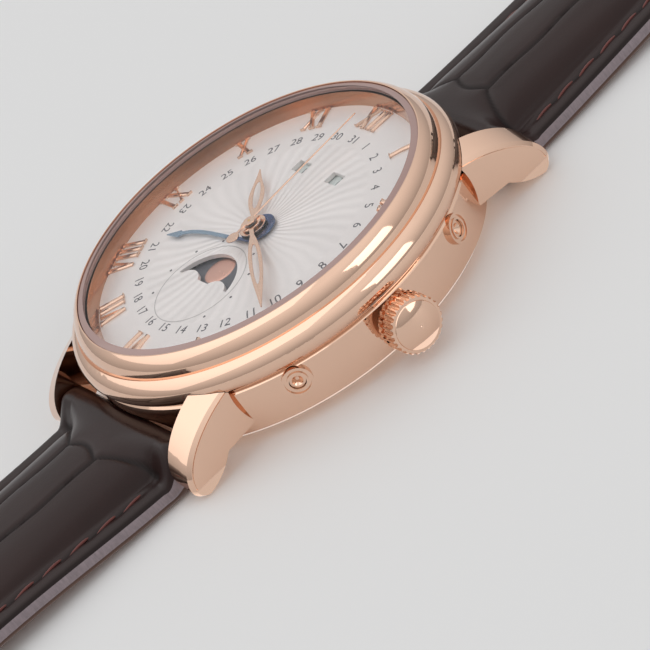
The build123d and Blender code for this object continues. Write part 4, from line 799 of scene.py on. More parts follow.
        # Painted shade in the sunk seam, along the turned-down edge where its shoulder falls into shadow, and
        # in the grooves.
        seam = hollow(self.seam_distance(x, reach), seam_line) * started
        turned = hollow(self.safe_half(reach) - np.abs(x), turned_line)
        turned = turned * smooth_step((reach - turned_start) / self.seam_run)
        groove = hollow(self.groove_distance(x, reach), self.groove_width) * self.within_seam(x, reach)
        groove = groove * self.tip_fade(reach) * smooth_step(reach / self.groove_start)
        return np.maximum(np.maximum(0.9 * seam, 0.8 * turned), groove)

    def rounding(self, x, reach, at_bar):
        """How far the top falls at the edge: a quarter of an oval, larger at the bar."""
        width, extra_width, fall, extra_fall = 0.7, 0.9, 0.40, 1.2
        wide = width + extra_width * at_bar
        shoulder = np.clip((np.abs(x) - self.safe_half(reach) + wide) / wide, 0, 1)
        return (fall + extra_fall * at_bar) * (1 - round_over(shoulder))

    def top(self, x, reach):
        """Height of the upper surface: edge, flat border, crowned padding, scales and the sunk seam."""
        least_padding, bar_padding, bar_run = 0.15, 0.15, 3.0
        inner = np.maximum(self.safe_half(reach) - self.border, 1e-3)
        dome = np.clip(1 - (np.abs(x) / inner) ** self.dome_fall, 0, 1) ** self.dome_power
        tip_fade = self.tip_fade(reach)
        far = self.span - self.end_gap - reach
        end_fade = 1.0 if self.side < 0 else smooth_step(far / self.end_run)
        raised = np.maximum(self.pad(reach) - self.edge(reach), least_padding) * dome * tip_fade * end_fade
        rounded = self.rounding(x, reach, 1 - smooth_step(reach / bar_run))
        started = smooth_step((reach - self.seam_start) / self.seam_run)
        seam = self.seam_depth * hollow(self.seam_distance(x, reach), self.seam_width) * started
        flat = self.floor(reach) + self.edge(reach) + raised - rounded - seam
        behind = np.clip(-reach / self.loop, 0, 1)
        curved = self.bar_z + self.loop * round_over(behind) - rounded * (1 - behind)
        near = self.groove_distance(x, reach)
        groove = (self.groove_depth * hollow(near, self.groove_width)
                  + self.hollow_depth * hollow(near, self.hollow_width))
        scaled = -groove * self.within_seam(x, reach) * tip_fade
        return np.where(reach < 0, curved + bar_padding * dome * (1 - behind),
                        flat + scaled * smooth_step(reach / self.groove_start))

    def bottom(self, reach):
        """Height of the underside, round the bar behind it."""
        behind = np.clip(-reach / self.loop, 0, 1)
        return np.where(reach < 0, self.bar_z - self.loop * round_over(behind), self.floor(reach))

    def world(self, x, reach, z):
        """Points of the strap in the watch's frame."""
        y = self.side * (self.bar_y + reach)
        return np.stack(np.broadcast_arrays(x, y, z), axis=-1)

    def ring(self, reach, across=96, under=24, edge_steps=12):
        """Closed rings across the strap: over the top, down the bulged edge with its joint, under and up
        again. Points over the top lie closer together towards the edges, by a sine added to even steps."""
        crowding, joint = 0.35, 0.68
        bulge_size, joint_depth, joint_width = 0.22, 0.10, 0.07
        reach = reach[:, None]
        half = self.half_width(reach)
        share = np.sin(np.linspace(-0.5, 0.5, across) * math.pi)[None, :] * crowding
        share = share + (1 - crowding) * np.linspace(-1, 1, across)[None, :]
        share = share / share[0, -1]
        top_x = half * share
        top_z = self.top(top_x, reach)
        drop = np.linspace(0, 1, edge_steps + 2)[None, 1:-1]
        low = self.bottom(reach)
        right_z = top_z[:, -1:] + (low - top_z[:, -1:]) * drop
        left_z = top_z[:, :1] + (low - top_z[:, :1]) * drop[:, ::-1]
        bulge = bulge_size * np.sin(math.pi * drop) ** 0.7 - joint_depth * hollow(drop - joint, joint_width)
        bulge = bulge * np.clip(half / 3.0, 0, 1)
        under_x = half * np.linspace(1, -1, under)[None, :]
        under_z = np.broadcast_to(low, under_x.shape)
        x = np.concatenate([top_x, half + bulge, under_x, -half - bulge[:, ::-1]], axis=1)
        z = np.concatenate([top_z, right_z, under_z, left_z], axis=1)
        marks = np.zeros(x.shape)
        # Painted shade of the top leather, by the crease mask.
        marks[:, :across] = self.crease(top_x, reach)
        side = np.where((np.arange(edge_steps + 1) + 0.5) / (edge_steps + 1) > joint, 2, 1)
        kinds = np.concatenate([np.zeros(across - 1), side, np.full(under - 1, 2), side[::-1]])
        return self.world(x, reach, z), self.face_kinds(kinds, reach, z, low), marks

    def face_kinds(self, kinds, reach, z, low):
        """Material of each face of the rings: 0 top leather, 1 painted edge, 2 lining. The edge isn't painted
        where it is thicker than the strap's plain edge, and round the bar."""
        spare, behind_bar = 0.1, -0.3
        above = (z + np.roll(z, -1, axis=1)) / 2 - low > self.edge_thick + spare
        return np.where((kinds == 1) & (above | (reach < behind_bar)), 0, kinds)


def strap_stations(half, finish_at):
    """Stations along a strap half: close together round the bar and at the tip, by a cosine and a sine."""
    step = 0.22
    loop = -half.loop * np.cos(np.linspace(0, math.pi / 2, 14))[:-1]
    body = np.arange(0.0, finish_at - (half.tip if half.side < 0 else 0), step)
    if half.side > 0:
        return np.concatenate([loop, body, [finish_at]])
    tip = finish_at - half.tip + half.tip * np.sin(np.linspace(0, math.pi / 2, 48))
    return np.concatenate([loop, body, tip])


def cut_round_holes(piece, centres, radius, low, high, material):
    """Cuts upright round holes through a piece and gives their walls a material."""
    steps = 32
    turn = np.linspace(0, 2 * math.pi, steps, endpoint=False)
    ring = np.stack([np.cos(turn), np.sin(turn)], axis=-1) * radius
    grids = []
    for x, y in centres:
        grids.append([np.column_stack([x + ring[:, 0] * wide, y + ring[:, 1] * wide, np.full(steps, z)])
                      for wide, z in ((0, low), (1, low), (1, high), (0, high))])
    cutter = add_grids("punch", np.array(grids), wrap_columns=True)
    cutter.data.materials.append(material)
    cut = piece.modifiers.new("holes", "BOOLEAN")
    cut.object = cutter
    cut.solver = "EXACT"
    cut.material_mode = "TRANSFER"
    view = bpy.context.evaluated_depsgraph_get()
    mesh = bpy.data.meshes.new_from_object(piece.evaluated_get(view))
    piece.modifiers.clear()
    piece.data = mesh
    bpy.data.objects.remove(cutter)


def stitch_line(half, start, end, both_sides_joined):
    """Points (x, reach) along the seam: up one border and down the other, round the tip where joined."""
    run = np.linspace(start, end, 400)
    inner = half.half_width(run) - half.inset
    if not both_sides_joined:
        return [np.column_stack([inner, run]), np.column_stack([-inner, run])]
    turn = np.linspace(0, math.pi, 160)
    wide = half.end_width / 2 - half.inset
    deep = half.tip - half.inset
    tip = np.column_stack([wide * np.cos(turn), half.span - half.tip + deep * np.sin(turn)])
    straight = run < half.span - half.tip
    right = np.column_stack([inner[straight], run[straight]])
    left = np.column_stack([-inner[straight], run[straight]])[::-1]
    return [np.concatenate([right, tip, left])]


def turned_by(vectors, angle):
    """Flat vectors turned by an angle: the usual sums of cosine and sine."""
    return np.column_stack([vectors[:, 0] * math.cos(angle) - vectors[:, 1] * math.sin(angle),
                            vectors[:, 0] * math.sin(angle) + vectors[:, 1] * math.cos(angle)])


def stitches(half, line, pitch, stitch_length, radius):
    """Grid of each stitch: a thread that bows out of one hole and into the next, slightly aslant."""
    slant, rise, sunk, near = math.radians(9), 0.16, 0.08, 0.1
    steps = np.concatenate([[0], np.cumsum(np.linalg.norm(np.diff(line, axis=0), axis=1))])
    middle = np.arange(pitch / 2, steps[-1], pitch)
    x, reach = (np.interp(middle, steps, column) for column in line.T)
    ahead = [np.interp(middle + near, steps, column) - np.interp(middle - near, steps, column)
             for column in line.T]
    along = np.column_stack([ahead[0], half.side * ahead[1]])
    along = turned_by(along / np.linalg.norm(along, axis=1)[:, None], slant)
    share = np.array([-1.0, -0.96, -0.8, -0.4, 0.0, 0.4, 0.8, 0.96, 1.0])
    thick = np.array([0.0, 0.55, 0.9, 1.0, 1.0, 1.0, 0.9, 0.55, 0.0]) * radius
    ring = np.linspace(0, 2 * math.pi, 8, endpoint=False)
    centre = half.world(x, reach, half.top(x, reach))
    lift = rise * (1 - share**2) - sunk
    side_way = np.column_stack([-along[:, 1], along[:, 0]])
    forward = (share * stitch_length / 2)[None, :, None, None]
    flat = (centre[:, None, None, :2] + along[:, None, None] * forward
            + side_way[:, None, None] * (thick[:, None] * np.cos(ring))[None, :, :, None])
    height = centre[:, 2][:, None, None] + lift[None, :, None] + (thick[:, None] * np.sin(ring))[None]
    return np.concatenate([flat, height[..., None]], axis=-1)


# Operators: one for each group of pieces

class WATCH_OT_finishes(Operator):
    """Makes the shader groups and every material of the watch."""
    bl_idname = "watch.finishes"
    bl_label = "Finishes"

    def execute(self, context):
        for build in (polish_group, brushed_group, circular_group, leather_group):
            build()
        for build in (gold_finishes, movement_finishes, dial_finishes, strap_finishes):
            FINISHES.update(build(context.scene.watch_colours))
        return {"FINISHED"}


class WATCH_OT_case(Operator):
    """Finishes the case, bezel, case back, crown and correctors in polished rose gold."""
    bl_idname = "watch.case"
    bl_label = "Case and crown"

    def execute(self, context):
        give(FINISHES["polished_gold"], "case_middle", "bezel", "case_back", "corrector_collars",
             "month_corrector", "date_corrector", "day_corrector", "moon_corrector")
        give(FINISHES["crown_gold"], "crown")
        give(FINISHES["flange_gold"], "flange_ring")
        give(FINISHES["steel"], "crown_tube", "winding_stem", "corrector_springs", "strap_spring_bars")
        give(FINISHES["rubber"], "crown_gasket", "crystal_gasket", "case_back_gasket")
        return {"FINISHED"}


class WATCH_OT_crystals(Operator):
    """Makes the domed front crystal with its ground rim, and clears the back crystal."""
    bl_idname = "watch.crystals"
    bl_label = "Crystals"

    def execute(self, context):
        give(FINISHES["sapphire"], "back_crystal")
        profile, dome_count = self.profile()
        grid = lathe(profile)
        row = np.repeat(np.arange(len(profile) - 1), grid.shape[1])
        ground = (row >= dome_count - 1) & (row < len(profile) - 2)
        crystal = add_grid("domed_crystal", grid, wrap_columns=True, kinds=ground.astype(int), sharp=20)
        dress(crystal, FINISHES["sapphire"], FINISHES["ground_edge"], body="case", slot="sapphire")
        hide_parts("crystal")
        return {"FINISHED"}

    def profile(self):
        """Half section of the crystal and how many of its points are dome: a shallow arc of a circle, a
        rounded rim, an upright edge and a step down to the flat underside."""
        low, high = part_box("crystal")
        top, bottom, outer = high.z / MM, low.z / MM, high.x / MM
        dome_radius, rise, shoulder = 16.95, 0.45, 0.04
        rim_start, rim_end, ledge = 0.18, 0.24, 0.52
        inner, foot = 17.16, 0.03
        curve = (dome_radius**2 + rise**2) / (2 * rise)
        radius = np.linspace(0, dome_radius, 24)
        dome = np.column_stack([radius, top - curve + np.sqrt(curve**2 - radius**2)])
        rim = [(outer - shoulder, top - rise - rim_start), (outer, top - rise - rim_end),
               (outer, bottom + ledge), (inner, bottom + ledge), (inner, bottom + foot),
               (inner - foot, bottom), (0, bottom)]
        return np.concatenate([dome, rim]), len(dome)


def guilloche_material(colours, rays):
    """Silvered dial with engraved rays that wave as they run outwards, worked out from polar angle and
    radius: the sine of the angle times the number of rays plus a wave, and a broad sine six times slower."""
    wave_rate, wave_size, broad_rate, broad_share = 620.0, 1.3, 260.0, 0.8
    engraved_to, plain_from = 11.2 * MM, 11.6 * MM
    material, wires, shader = new_material("engraved_dial")
    place = wires.place()
    turn, radius = wires.polar(place)
    wave = wires.math("MULTIPLY", wires.math("SINE", wires.math("MULTIPLY", radius, wave_rate)), wave_size)
    ray = wires.math("SINE", wires.math("MULTIPLY_ADD", turn, float(rays), wave))
    drift = wires.math("MULTIPLY", radius, broad_rate)
    broad = wires.math("SINE", wires.math("MULTIPLY_ADD", turn, rays / 6.0, drift))
    inside = wires.spread(radius, engraved_to, plain_from, 1.0, 0.0)
    fine = wires.noise(place, scale=4000.0)
    height = wires.math("MULTIPLY", wires.math("MULTIPLY_ADD", broad, broad_share, ray), inside)
    share = wires.spread(height, -1.6, 1.6, 0.0, 1.0)
    wires.join(wires.blend(share, *pair(colours.dial, 0.95, 1.03)), shader.inputs["Base Color"])
    wires.join(wires.spread(fine, 0.0, 1.0, 0.26, 0.40), shader.inputs["Roughness"])
    shader.inputs["Metallic"].default_value = 0.25
    wires.relief(shader, wires.math("MULTIPLY_ADD", fine, 0.06, height), strength=0.30, reach=0.05)
    return material


def flat_ring(centre, radius, width, height, thickness, segments=128):
    """Grid of a thin printed ring: a small box section carried round a circle."""
    section = [(radius - width / 2, 0), (radius + width / 2, 0), (radius + width / 2, thickness),
               (radius - width / 2, thickness)]
    return lathe(section, segments) + np.array([centre[0], centre[1], height])


def text_mesh(text, size, thickness):
    """Points and faces of a line of text, centred on the origin, in millimetres."""
    curve = bpy.data.curves.new("line_of_text", "FONT")
    curve.body = text
    curve.size = size
    curve.align_x, curve.align_y = "CENTER", "CENTER"
    curve.extrude = thickness / 2
    curve.resolution_u = 3
    holder = link_object("line_of_text", curve)
    bpy.context.view_layer.update()
    mesh = bpy.data.meshes.new_from_object(holder.evaluated_get(bpy.context.evaluated_depsgraph_get()))
    points = np.zeros(len(mesh.vertices) * 3)
    mesh.vertices.foreach_get("co", points)
    points = points.reshape(-1, 3)
    middle = (points.min(axis=0) + points.max(axis=0)) / 2
    faces = [tuple(face.vertices) for face in mesh.polygons]
    bpy.data.objects.remove(holder)
    return points - middle, faces


def numbers_piece(name, entries, size):
    """One piece of printed numbers; each entry is a text, a centre in millimetres and a turn in degrees."""
    points, faces, start = [], [], 0
    for text, centre, turn in entries:
        shape, outline = text_mesh(text, size, PRINT_THICKNESS)
        cosine, sine = math.cos(math.radians(turn)), math.sin(math.radians(turn))
        spin = np.array([[cosine, -sine, 0], [sine, cosine, 0], [0, 0, 1]])
        points.append(shape @ spin.T + np.array(centre))
        faces.extend(tuple(corner + start for corner in face) for face in outline)
        start += len(shape)
    mesh = bpy.data.meshes.new(name)
    mesh.from_pydata((np.concatenate(points) * MM).tolist(), [], faces)
    close_surface(mesh)
    return link_object(name, mesh)


class WATCH_OT_dial(Operator):
    """Engraves the dial and prints the date numbers, the sub ring and its marks."""
    bl_idname = "watch.dial"
    bl_label = "Dial"

    def execute(self, context):
        sizes, colours = context.scene.watch_dial, context.scene.watch_colours
        give(guilloche_material(colours, sizes.rays), "dial")
        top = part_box("dial")[1].z / MM + PRINT_LIFT
        pieces = (("ink", self.date_numbers(sizes.date_ring / MM, sizes.date_height / MM, top)),
                  ("pale_ink", self.sub_ring(sizes.sub_ring / MM, top)), ("ink", self.age_dots(top)))
        for ink, piece in pieces:
            dress(piece, FINISHES[ink], body="case", slot="silvered_dial")
        return {"FINISHED"}

    def date_numbers(self, radius, height, top):
        """Numbers 1 to 31 round a circle, the lower ones turned over so that they read upright."""
        days, digit_share = 31, 0.72        # a digit's height is this share of the type size
        entries = []
        for number in range(1, days + 1):
            turn = number * 360 / days
            readable = turn + 180 if 90 < turn < 270 else turn
            angle = math.radians(turn)
            at = (radius * math.sin(angle), radius * math.cos(angle), top)
            entries.append((str(number), at, -readable))
        return numbers_piece("date_numbers", entries, height / digit_share)

    def sub_ring(self, radius, top):
        """Fine printed line round the moon window."""
        line_width = 0.09
        ring = flat_ring(MOON_CENTRE, radius, line_width, top, PRINT_THICKNESS)
        return add_grid("moon_sub_ring", ring, wrap_rows=True, wrap_columns=True)

    def age_dots(self, top):
        """Dots on a circle round the sub ring, except under the hands and at the date numbers."""
        circle, dot, nearest, farthest = 5.5, 0.13, 2.8, 11.4
        flat_dot = [(0, PRINT_THICKNESS), (dot, PRINT_THICKNESS), (dot, 0), (0, 0)]
        dots = []
        for turn in np.radians(np.arange(0, 360, 30)):
            x, y = circle * math.cos(turn), MOON_CENTRE[1] + circle * math.sin(turn)
            if nearest < math.hypot(x, y) < farthest:
                dots.append(lathe(flat_dot, 16) + np.array([x, y, top]))
        return add_grids("moon_age_dots", np.array(dots), wrap_columns=True)


def faceted_bars(strokes, base, rise):
    """Grids of roof-topped bars: each stroke is a start, an end and a half width on the dial."""
    flat_top, wall = 0.55, 0.55     # share of the half width that is flat, and of the rise that is upright
    section = np.array([(-1, 0), (-1, wall), (-flat_top, 1), (flat_top, 1), (1, wall), (1, 0)])
    grids = []
    for start, end, half in strokes:
        start, end = np.array(start, float), np.array(end, float)
        along = (end - start) / np.linalg.norm(end - start)
        side = np.array([-along[1], along[0]])
        rows = []
        for at, spread in ((start, 0), (start, 1), (end, 1), (end, 0)):
            flat = at + side * (section[:, :1] * half * spread)
            rows.append(np.column_stack([flat, base + section[:, 1] * rise]))
        for closed in (0, -1):
            rows[closed] = np.repeat(rows[closed].mean(axis=0)[None], len(section), axis=0)
        grids.append(rows)
    return np.array(grids)


def numeral_strokes(mark, inner, outer, hour):
    """Strokes of one Roman numeral with serifs, its feet towards the middle of the dial."""
    widths = {"I": 0.85, "V": 1.75, "X": 1.75}
    thick, thin, serif, lean = 0.21, 0.10, 0.06, 0.5
    wide_foot, narrow_foot = 0.33, 0.26
    left = -sum(widths[letter] for letter in mark) / 2
    strokes = []
    for letter in mark:
        middle = left + widths[letter] / 2
        if letter == "I":
            strokes.append(((middle, inner), (middle, outer), thick))
            ends = [(middle, inner, wide_foot), (middle, outer, wide_foot)]
        elif letter == "V":
            strokes.append(((middle, inner), (middle - lean, outer), thick))
            strokes.append(((middle, inner), (middle + lean, outer), thin))
            ends = [(middle - lean, outer, wide_foot), (middle + lean, outer, narrow_foot)]
        else:
            strokes.append(((middle + lean, inner), (middle - lean, outer), thick))
            strokes.append(((middle - lean, inner), (middle + lean, outer), thin))
            ends = [(middle + lean, inner, wide_foot), (middle - lean, inner, narrow_foot),
                    (middle - lean, outer, wide_foot), (middle + lean, outer, narrow_foot)]
        for x, y, reach in ends:
            inwards = serif if y == inner else -serif
            strokes.append(((x - reach, y + inwards), (x + reach, y + inwards), serif))
        left += widths[letter]
    angle = -math.radians(30 * hour)
    spin = np.array([[math.cos(angle), -math.sin(angle)], [math.sin(angle), math.cos(angle)]])
    return [(spin @ np.array(start), spin @ np.array(end), half) for start, end, half in strokes]


class WATCH_OT_numerals(Operator):
    """Makes the applied hour numerals with faceted strokes and serifs."""
    bl_idname = "watch.numerals"
    bl_label = "Hour numerals"

    def execute(self, context):
        sizes = context.scene.watch_dial
        marks = ("XII", "I", "II", "III", "IIII", "V", "VI", "VII", "VIII", "IX", "X", "XI")
        strokes = []
        for hour, mark in enumerate(marks):
            strokes += numeral_strokes(mark, sizes.numeral_inner / MM, sizes.numeral_outer / MM, hour)
        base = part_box("dial")[1].z / MM
        bars = faceted_bars(strokes, base, sizes.numeral_rise / MM)
        numerals = add_grids("roman_numerals", bars, sharp=15)
        dress(numerals, FINISHES["hand_gold"], body="case", slot="rose_gold")
        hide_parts("hour_numerals")
        return {"FINISHED"}


class WATCH_OT_hands(Operator):
    """Finishes the hands with broken edges: rose gold, and blued steel for the date."""
    bl_idname = "watch.hands"
    bl_label = "Hands"

    def execute(self, context):
        for body, finish_name, slot, width in (("hour", "hand_gold", "rose_gold", 0.05),
                                               ("minute", "hand_gold", "rose_gold", 0.05),
                                               ("seconds", "hand_gold", "rose_gold", 0.03),
                                               ("date", "date_blue", "blued_steel", 0.04)):
            hand = finished_copy(body + "_hand", body + "_hand_finished", width, body)
            dress(hand, FINISHES[finish_name], slot=slot)
        return {"FINISHED"}


class WATCH_OT_calendar(Operator):
    """Makes the moons on their disc and prints plain numbers on the day and month discs."""
    bl_idname = "watch.calendar"
    bl_label = "Calendar discs"

    def execute(self, context):
        sizes = context.scene.watch_dial
        give(FINISHES["sky"], "moon_disc")
        give(FINISHES["disc"], "day_disc", "month_disc")
        moons = self.moons(sizes.moon_radius / MM, sizes.moon_orbit / MM)
        dress(moons, FINISHES["moon"], body="moon_disc", slot="moon_disc")
        for name, disc in CALENDAR_DISCS.items():
            numbers = self.disc_numbers(name, *disc)
            dress(numbers, FINISHES["ink"], body=name + "_disc", slot="calendar_disc")
        return {"FINISHED"}

    def moons(self, radius, orbit):
        """Two moons on opposite sides of their disc: low domes, nearly flat with a rounded rim."""
        rise, roundness, shift = 0.09, 2.2, 0.4
        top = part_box("moon_disc")[1].z / MM
        share = np.linspace(0, 1, 10)
        dome = np.column_stack([radius * share, rise * np.sqrt(np.maximum(1 - share**roundness, 0))])
        profile = np.concatenate([dome, [(0, 0)]])
        moons = [lathe(profile, 64) + np.array([x, MOON_CENTRE[1] + y, top])
                 for x, y in ((-shift, orbit), (shift, -orbit))]
        return add_grids("moons", np.array(moons), wrap_columns=True)

    def disc_numbers(self, name, centre, window, count, cycle, size):
        """Numbers round a disc, of which the first stands upright in the window."""
        reach = math.dist(centre, window)
        start = math.atan2(window[1] - centre[1], window[0] - centre[0])
        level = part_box(name + "_disc")[1].z / MM + PRINT_LIFT
        entries = []
        for place in range(count):
            angle = start + place * 2 * math.pi / count
            at = (centre[0] + reach * math.cos(angle), centre[1] + reach * math.sin(angle), level)
            entries.append((str(place % cycle + 1), at, math.degrees(angle - start)))
        return numbers_piece(name + "_numbers", entries, size)


def striped_material(colours):
    """Bridge finish with broad parallel stripes, each a shallow fan of fine lines: what is left of X times a
    rate past its whole number, plus a little grain."""
    stripe_rate, grain_share, full = 480.0, 0.35, 1.35
    material, wires, shader = new_material("striped_bridges")
    place = wires.place()
    across, _, _ = wires.parted(place)
    band = wires.math("FRACT", wires.math("MULTIPLY", across, stripe_rate))
    grain = wires.noise(wires.stretched(place, (6000.0, 90.0, 900.0)), scale=1.0, detail=4.0)
    tone = wires.math("MULTIPLY_ADD", grain, grain_share, band)
    share = wires.spread(tone, 0.0, full, 0.0, 1.0)
    wires.join(wires.blend(share, *pair(colours.plate, 0.62, 1.05)), shader.inputs["Base Color"])
    wires.join(wires.spread(tone, 0.0, full, 0.30, 0.16), shader.inputs["Roughness"])
    shader.inputs["Metallic"].default_value = 1.0
    wires.relief(shader, tone, strength=0.4, reach=0.03)
    return material


def pearled_material(colours):
    """Plate finish with rows of overlapping round marks: distance from the nearest cell centre, as rings."""
    mark_rate, jitter, ring_rate, full = 1100.0, 0.12, 55.0, 0.8
    material, wires, shader = new_material("pearled_plate")
    cells = wires.node("ShaderNodeTexVoronoi", voronoi_dimensions="2D")
    cells.inputs["Scale"].default_value = mark_rate
    cells.inputs["Randomness"].default_value = jitter
    wires.join(wires.place(), cells.inputs["Vector"])
    distance = cells.outputs["Distance"]
    rings = wires.math("SINE", wires.math("MULTIPLY", distance, ring_rate))
    tone = wires.math("MULTIPLY_ADD", rings, 0.15, distance)
    share = wires.spread(tone, 0.0, full, 0.0, 1.0)
    wires.join(wires.blend(share, *pair(colours.plate, 1.0, 0.6)), shader.inputs["Base Color"])
    wires.join(wires.spread(tone, 0.0, full, 0.18, 0.34), shader.inputs["Roughness"])
    shader.inputs["Metallic"].default_value = 1.0
    wires.relief(shader, tone, strength=0.3, reach=0.02)
    return material


class WATCH_OT_movement(Operator):
    """Finishes the movement: striped bridges, pearled plate, gilded wheels, steel, rubies and rotor."""
    bl_idname = "watch.movement"
    bl_label = "Movement"

    def execute(self, context):
        colours = context.scene.watch_colours
        give(striped_material(colours), "train_bridge", "balance_cock")
        give(pearled_material(colours), "main_plate", "movement_ring")
        give(FINISHES["gilt"], "barrel", "centre_wheel", "third_wheel", "fourth_wheel", "balance_wheel",
             "minute_wheel", "hour_wheel", "date_wheel")
        give(FINISHES["steel"], "barrel_arbor", "crown_wheel", "winding_pinion", "sliding_pinion",
             "cannon_pinion", "mainspring")
        give(FINISHES["bright_steel"], "movement_screws", "escape_wheel", "pallet_fork")
        give(FINISHES["blued"], "hairspring")
        give(FINISHES["ruby"], "jewels")
        give(FINISHES["satin_gold"], "rotor")
        return {"FINISHED"}


class WATCH_OT_strap(Operator):
    """Makes both padded strap halves: scaled top, painted edges, lining and the punched holes."""
    bl_idname = "watch.strap"
    bl_label = "Strap halves"

    def execute(self, context):
        sizes = context.scene.watch_strap
        buckle_half = StrapHalf(sizes, 1, STRAP_SPANS["buckle"])
        hole_half = StrapHalf(sizes, -1, STRAP_SPANS["hole"])
        before_loops = 71.7
        self.padded_half("padded_buckle_half", buckle_half, "buckle_half_strap", "buckle_half", before_loops)
        self.padded_half("padded_hole_half", hole_half, "hole_half_strap", "hole_half", hole_half.span)
        tabs = np.array([self.bar_tab(buckle_half, side) for side in (-1, 1)])
        loops = add_grids("buckle_bar_loops", tabs, wrap_columns=True, sharp=60)
        dress(loops, FINISHES["leather"], body="buckle_half", slot="alligator")
        return {"FINISHED"}

    def padded_half(self, name, half, node, body, finish_at):
        """One strap half: rings along its stations, closed at the buckle end or punched at the other."""
        grid, kinds, marks = half.ring(strap_stations(half, finish_at))
        if half.side > 0:
            grid = np.concatenate([grid, end_cap(grid[-1:])])
            marks = np.concatenate([marks, 0 * marks[-1:]])
        row_kinds = np.concatenate([kinds, kinds[-1:]])[:grid.shape[0] - 1].ravel()
        piece = add_grid(name, grid, wrap_columns=True, kinds=row_kinds, sharp=60, marks=marks)
        dress(piece, FINISHES["scaled_leather"], FINISHES["edge_paint"], FINISHES["lining"])
        if half.side < 0:
            self.punch(piece, half)
        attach(piece, body)
        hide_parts(node)

    def punch(self, piece, half):
        """Seven holes along the middle of the long half."""
        from_tip, pitch, radius, below, above = 44, 6.5, 0.9, -1.0, 6.0
        centres = [(0.0, -(half.bar_y + half.span - from_tip) + pitch * number) for number in range(-3, 4)]
        cut_round_holes(piece, centres, radius, below, above, FINISHES["lining"])

    def bar_tab(self, half, side):
        """Loop of leather round the buckle bar on one side of the tongue: rings that come out of the strap,
        swell to the bar's thickness and close round it, each a rectangle with rounded corners."""
        start, bar, low_height, bar_height, thin, round_end = 66.5, half.span, 2.06, 2.5, 0.78, 1.25
        inner, outer, swell_run, squareness = 1.3, 8.9, 6.0, 0.25
        past = round_end * np.sin(np.linspace(0.1, math.pi / 2, 12))
        reach = np.concatenate([np.linspace(start, bar, 24), bar + past])
        swell = smooth_step((reach - start) / swell_run)
        height = (low_height + (bar_height - low_height) * swell)[:, None]
        straight = thin + (round_end - thin) * swell
        thick = np.where(reach < bar, straight, round_end * round_over((reach - bar) / round_end))
        turn = np.linspace(0, 2 * math.pi, 40, endpoint=False)
        across = (inner + outer) / 2 * side + (outer - inner) / 2 * squared_off(np.cos(turn), squareness)
        reach = np.broadcast_to(reach[:, None], (len(reach), len(turn)))
        z = height + thick[:, None] * squared_off(np.sin(turn), squareness)[None]
        grid = half.world(np.broadcast_to(across[None], z.shape), reach, z)
        return np.concatenate([end_cap(grid[:1]), grid])


class WATCH_OT_stitching(Operator):
    """Sews both strap halves along their borders."""
    bl_idname = "watch.stitching"
    bl_label = "Stitching"

    def execute(self, context):
        self.sew(context, "buckle", side=1, end=70.0, joined=False)
        self.sew(context, "hole", side=-1, end=STRAP_SPANS["hole"], joined=True)
        return {"FINISHED"}

    def sew(self, context, name, side, end, joined):
        """Stitches of one half, from just past the lugs to an end."""
        sizes = context.scene.watch_strap
        amounts = (sizes.stitch_pitch / MM, sizes.stitch_length / MM, sizes.thread / MM)
        first_hole = 3.6
        half = StrapHalf(sizes, side, STRAP_SPANS[name])
        grids = [stitches(half, line, *amounts) for line in stitch_line(half, first_hole, end, joined)]
        seam = add_grids(name + "_half_stitches", np.concatenate(grids), wrap_columns=True, sharp=80)
        dress(seam, FINISHES["thread"], body=name + "_half", slot="alligator")


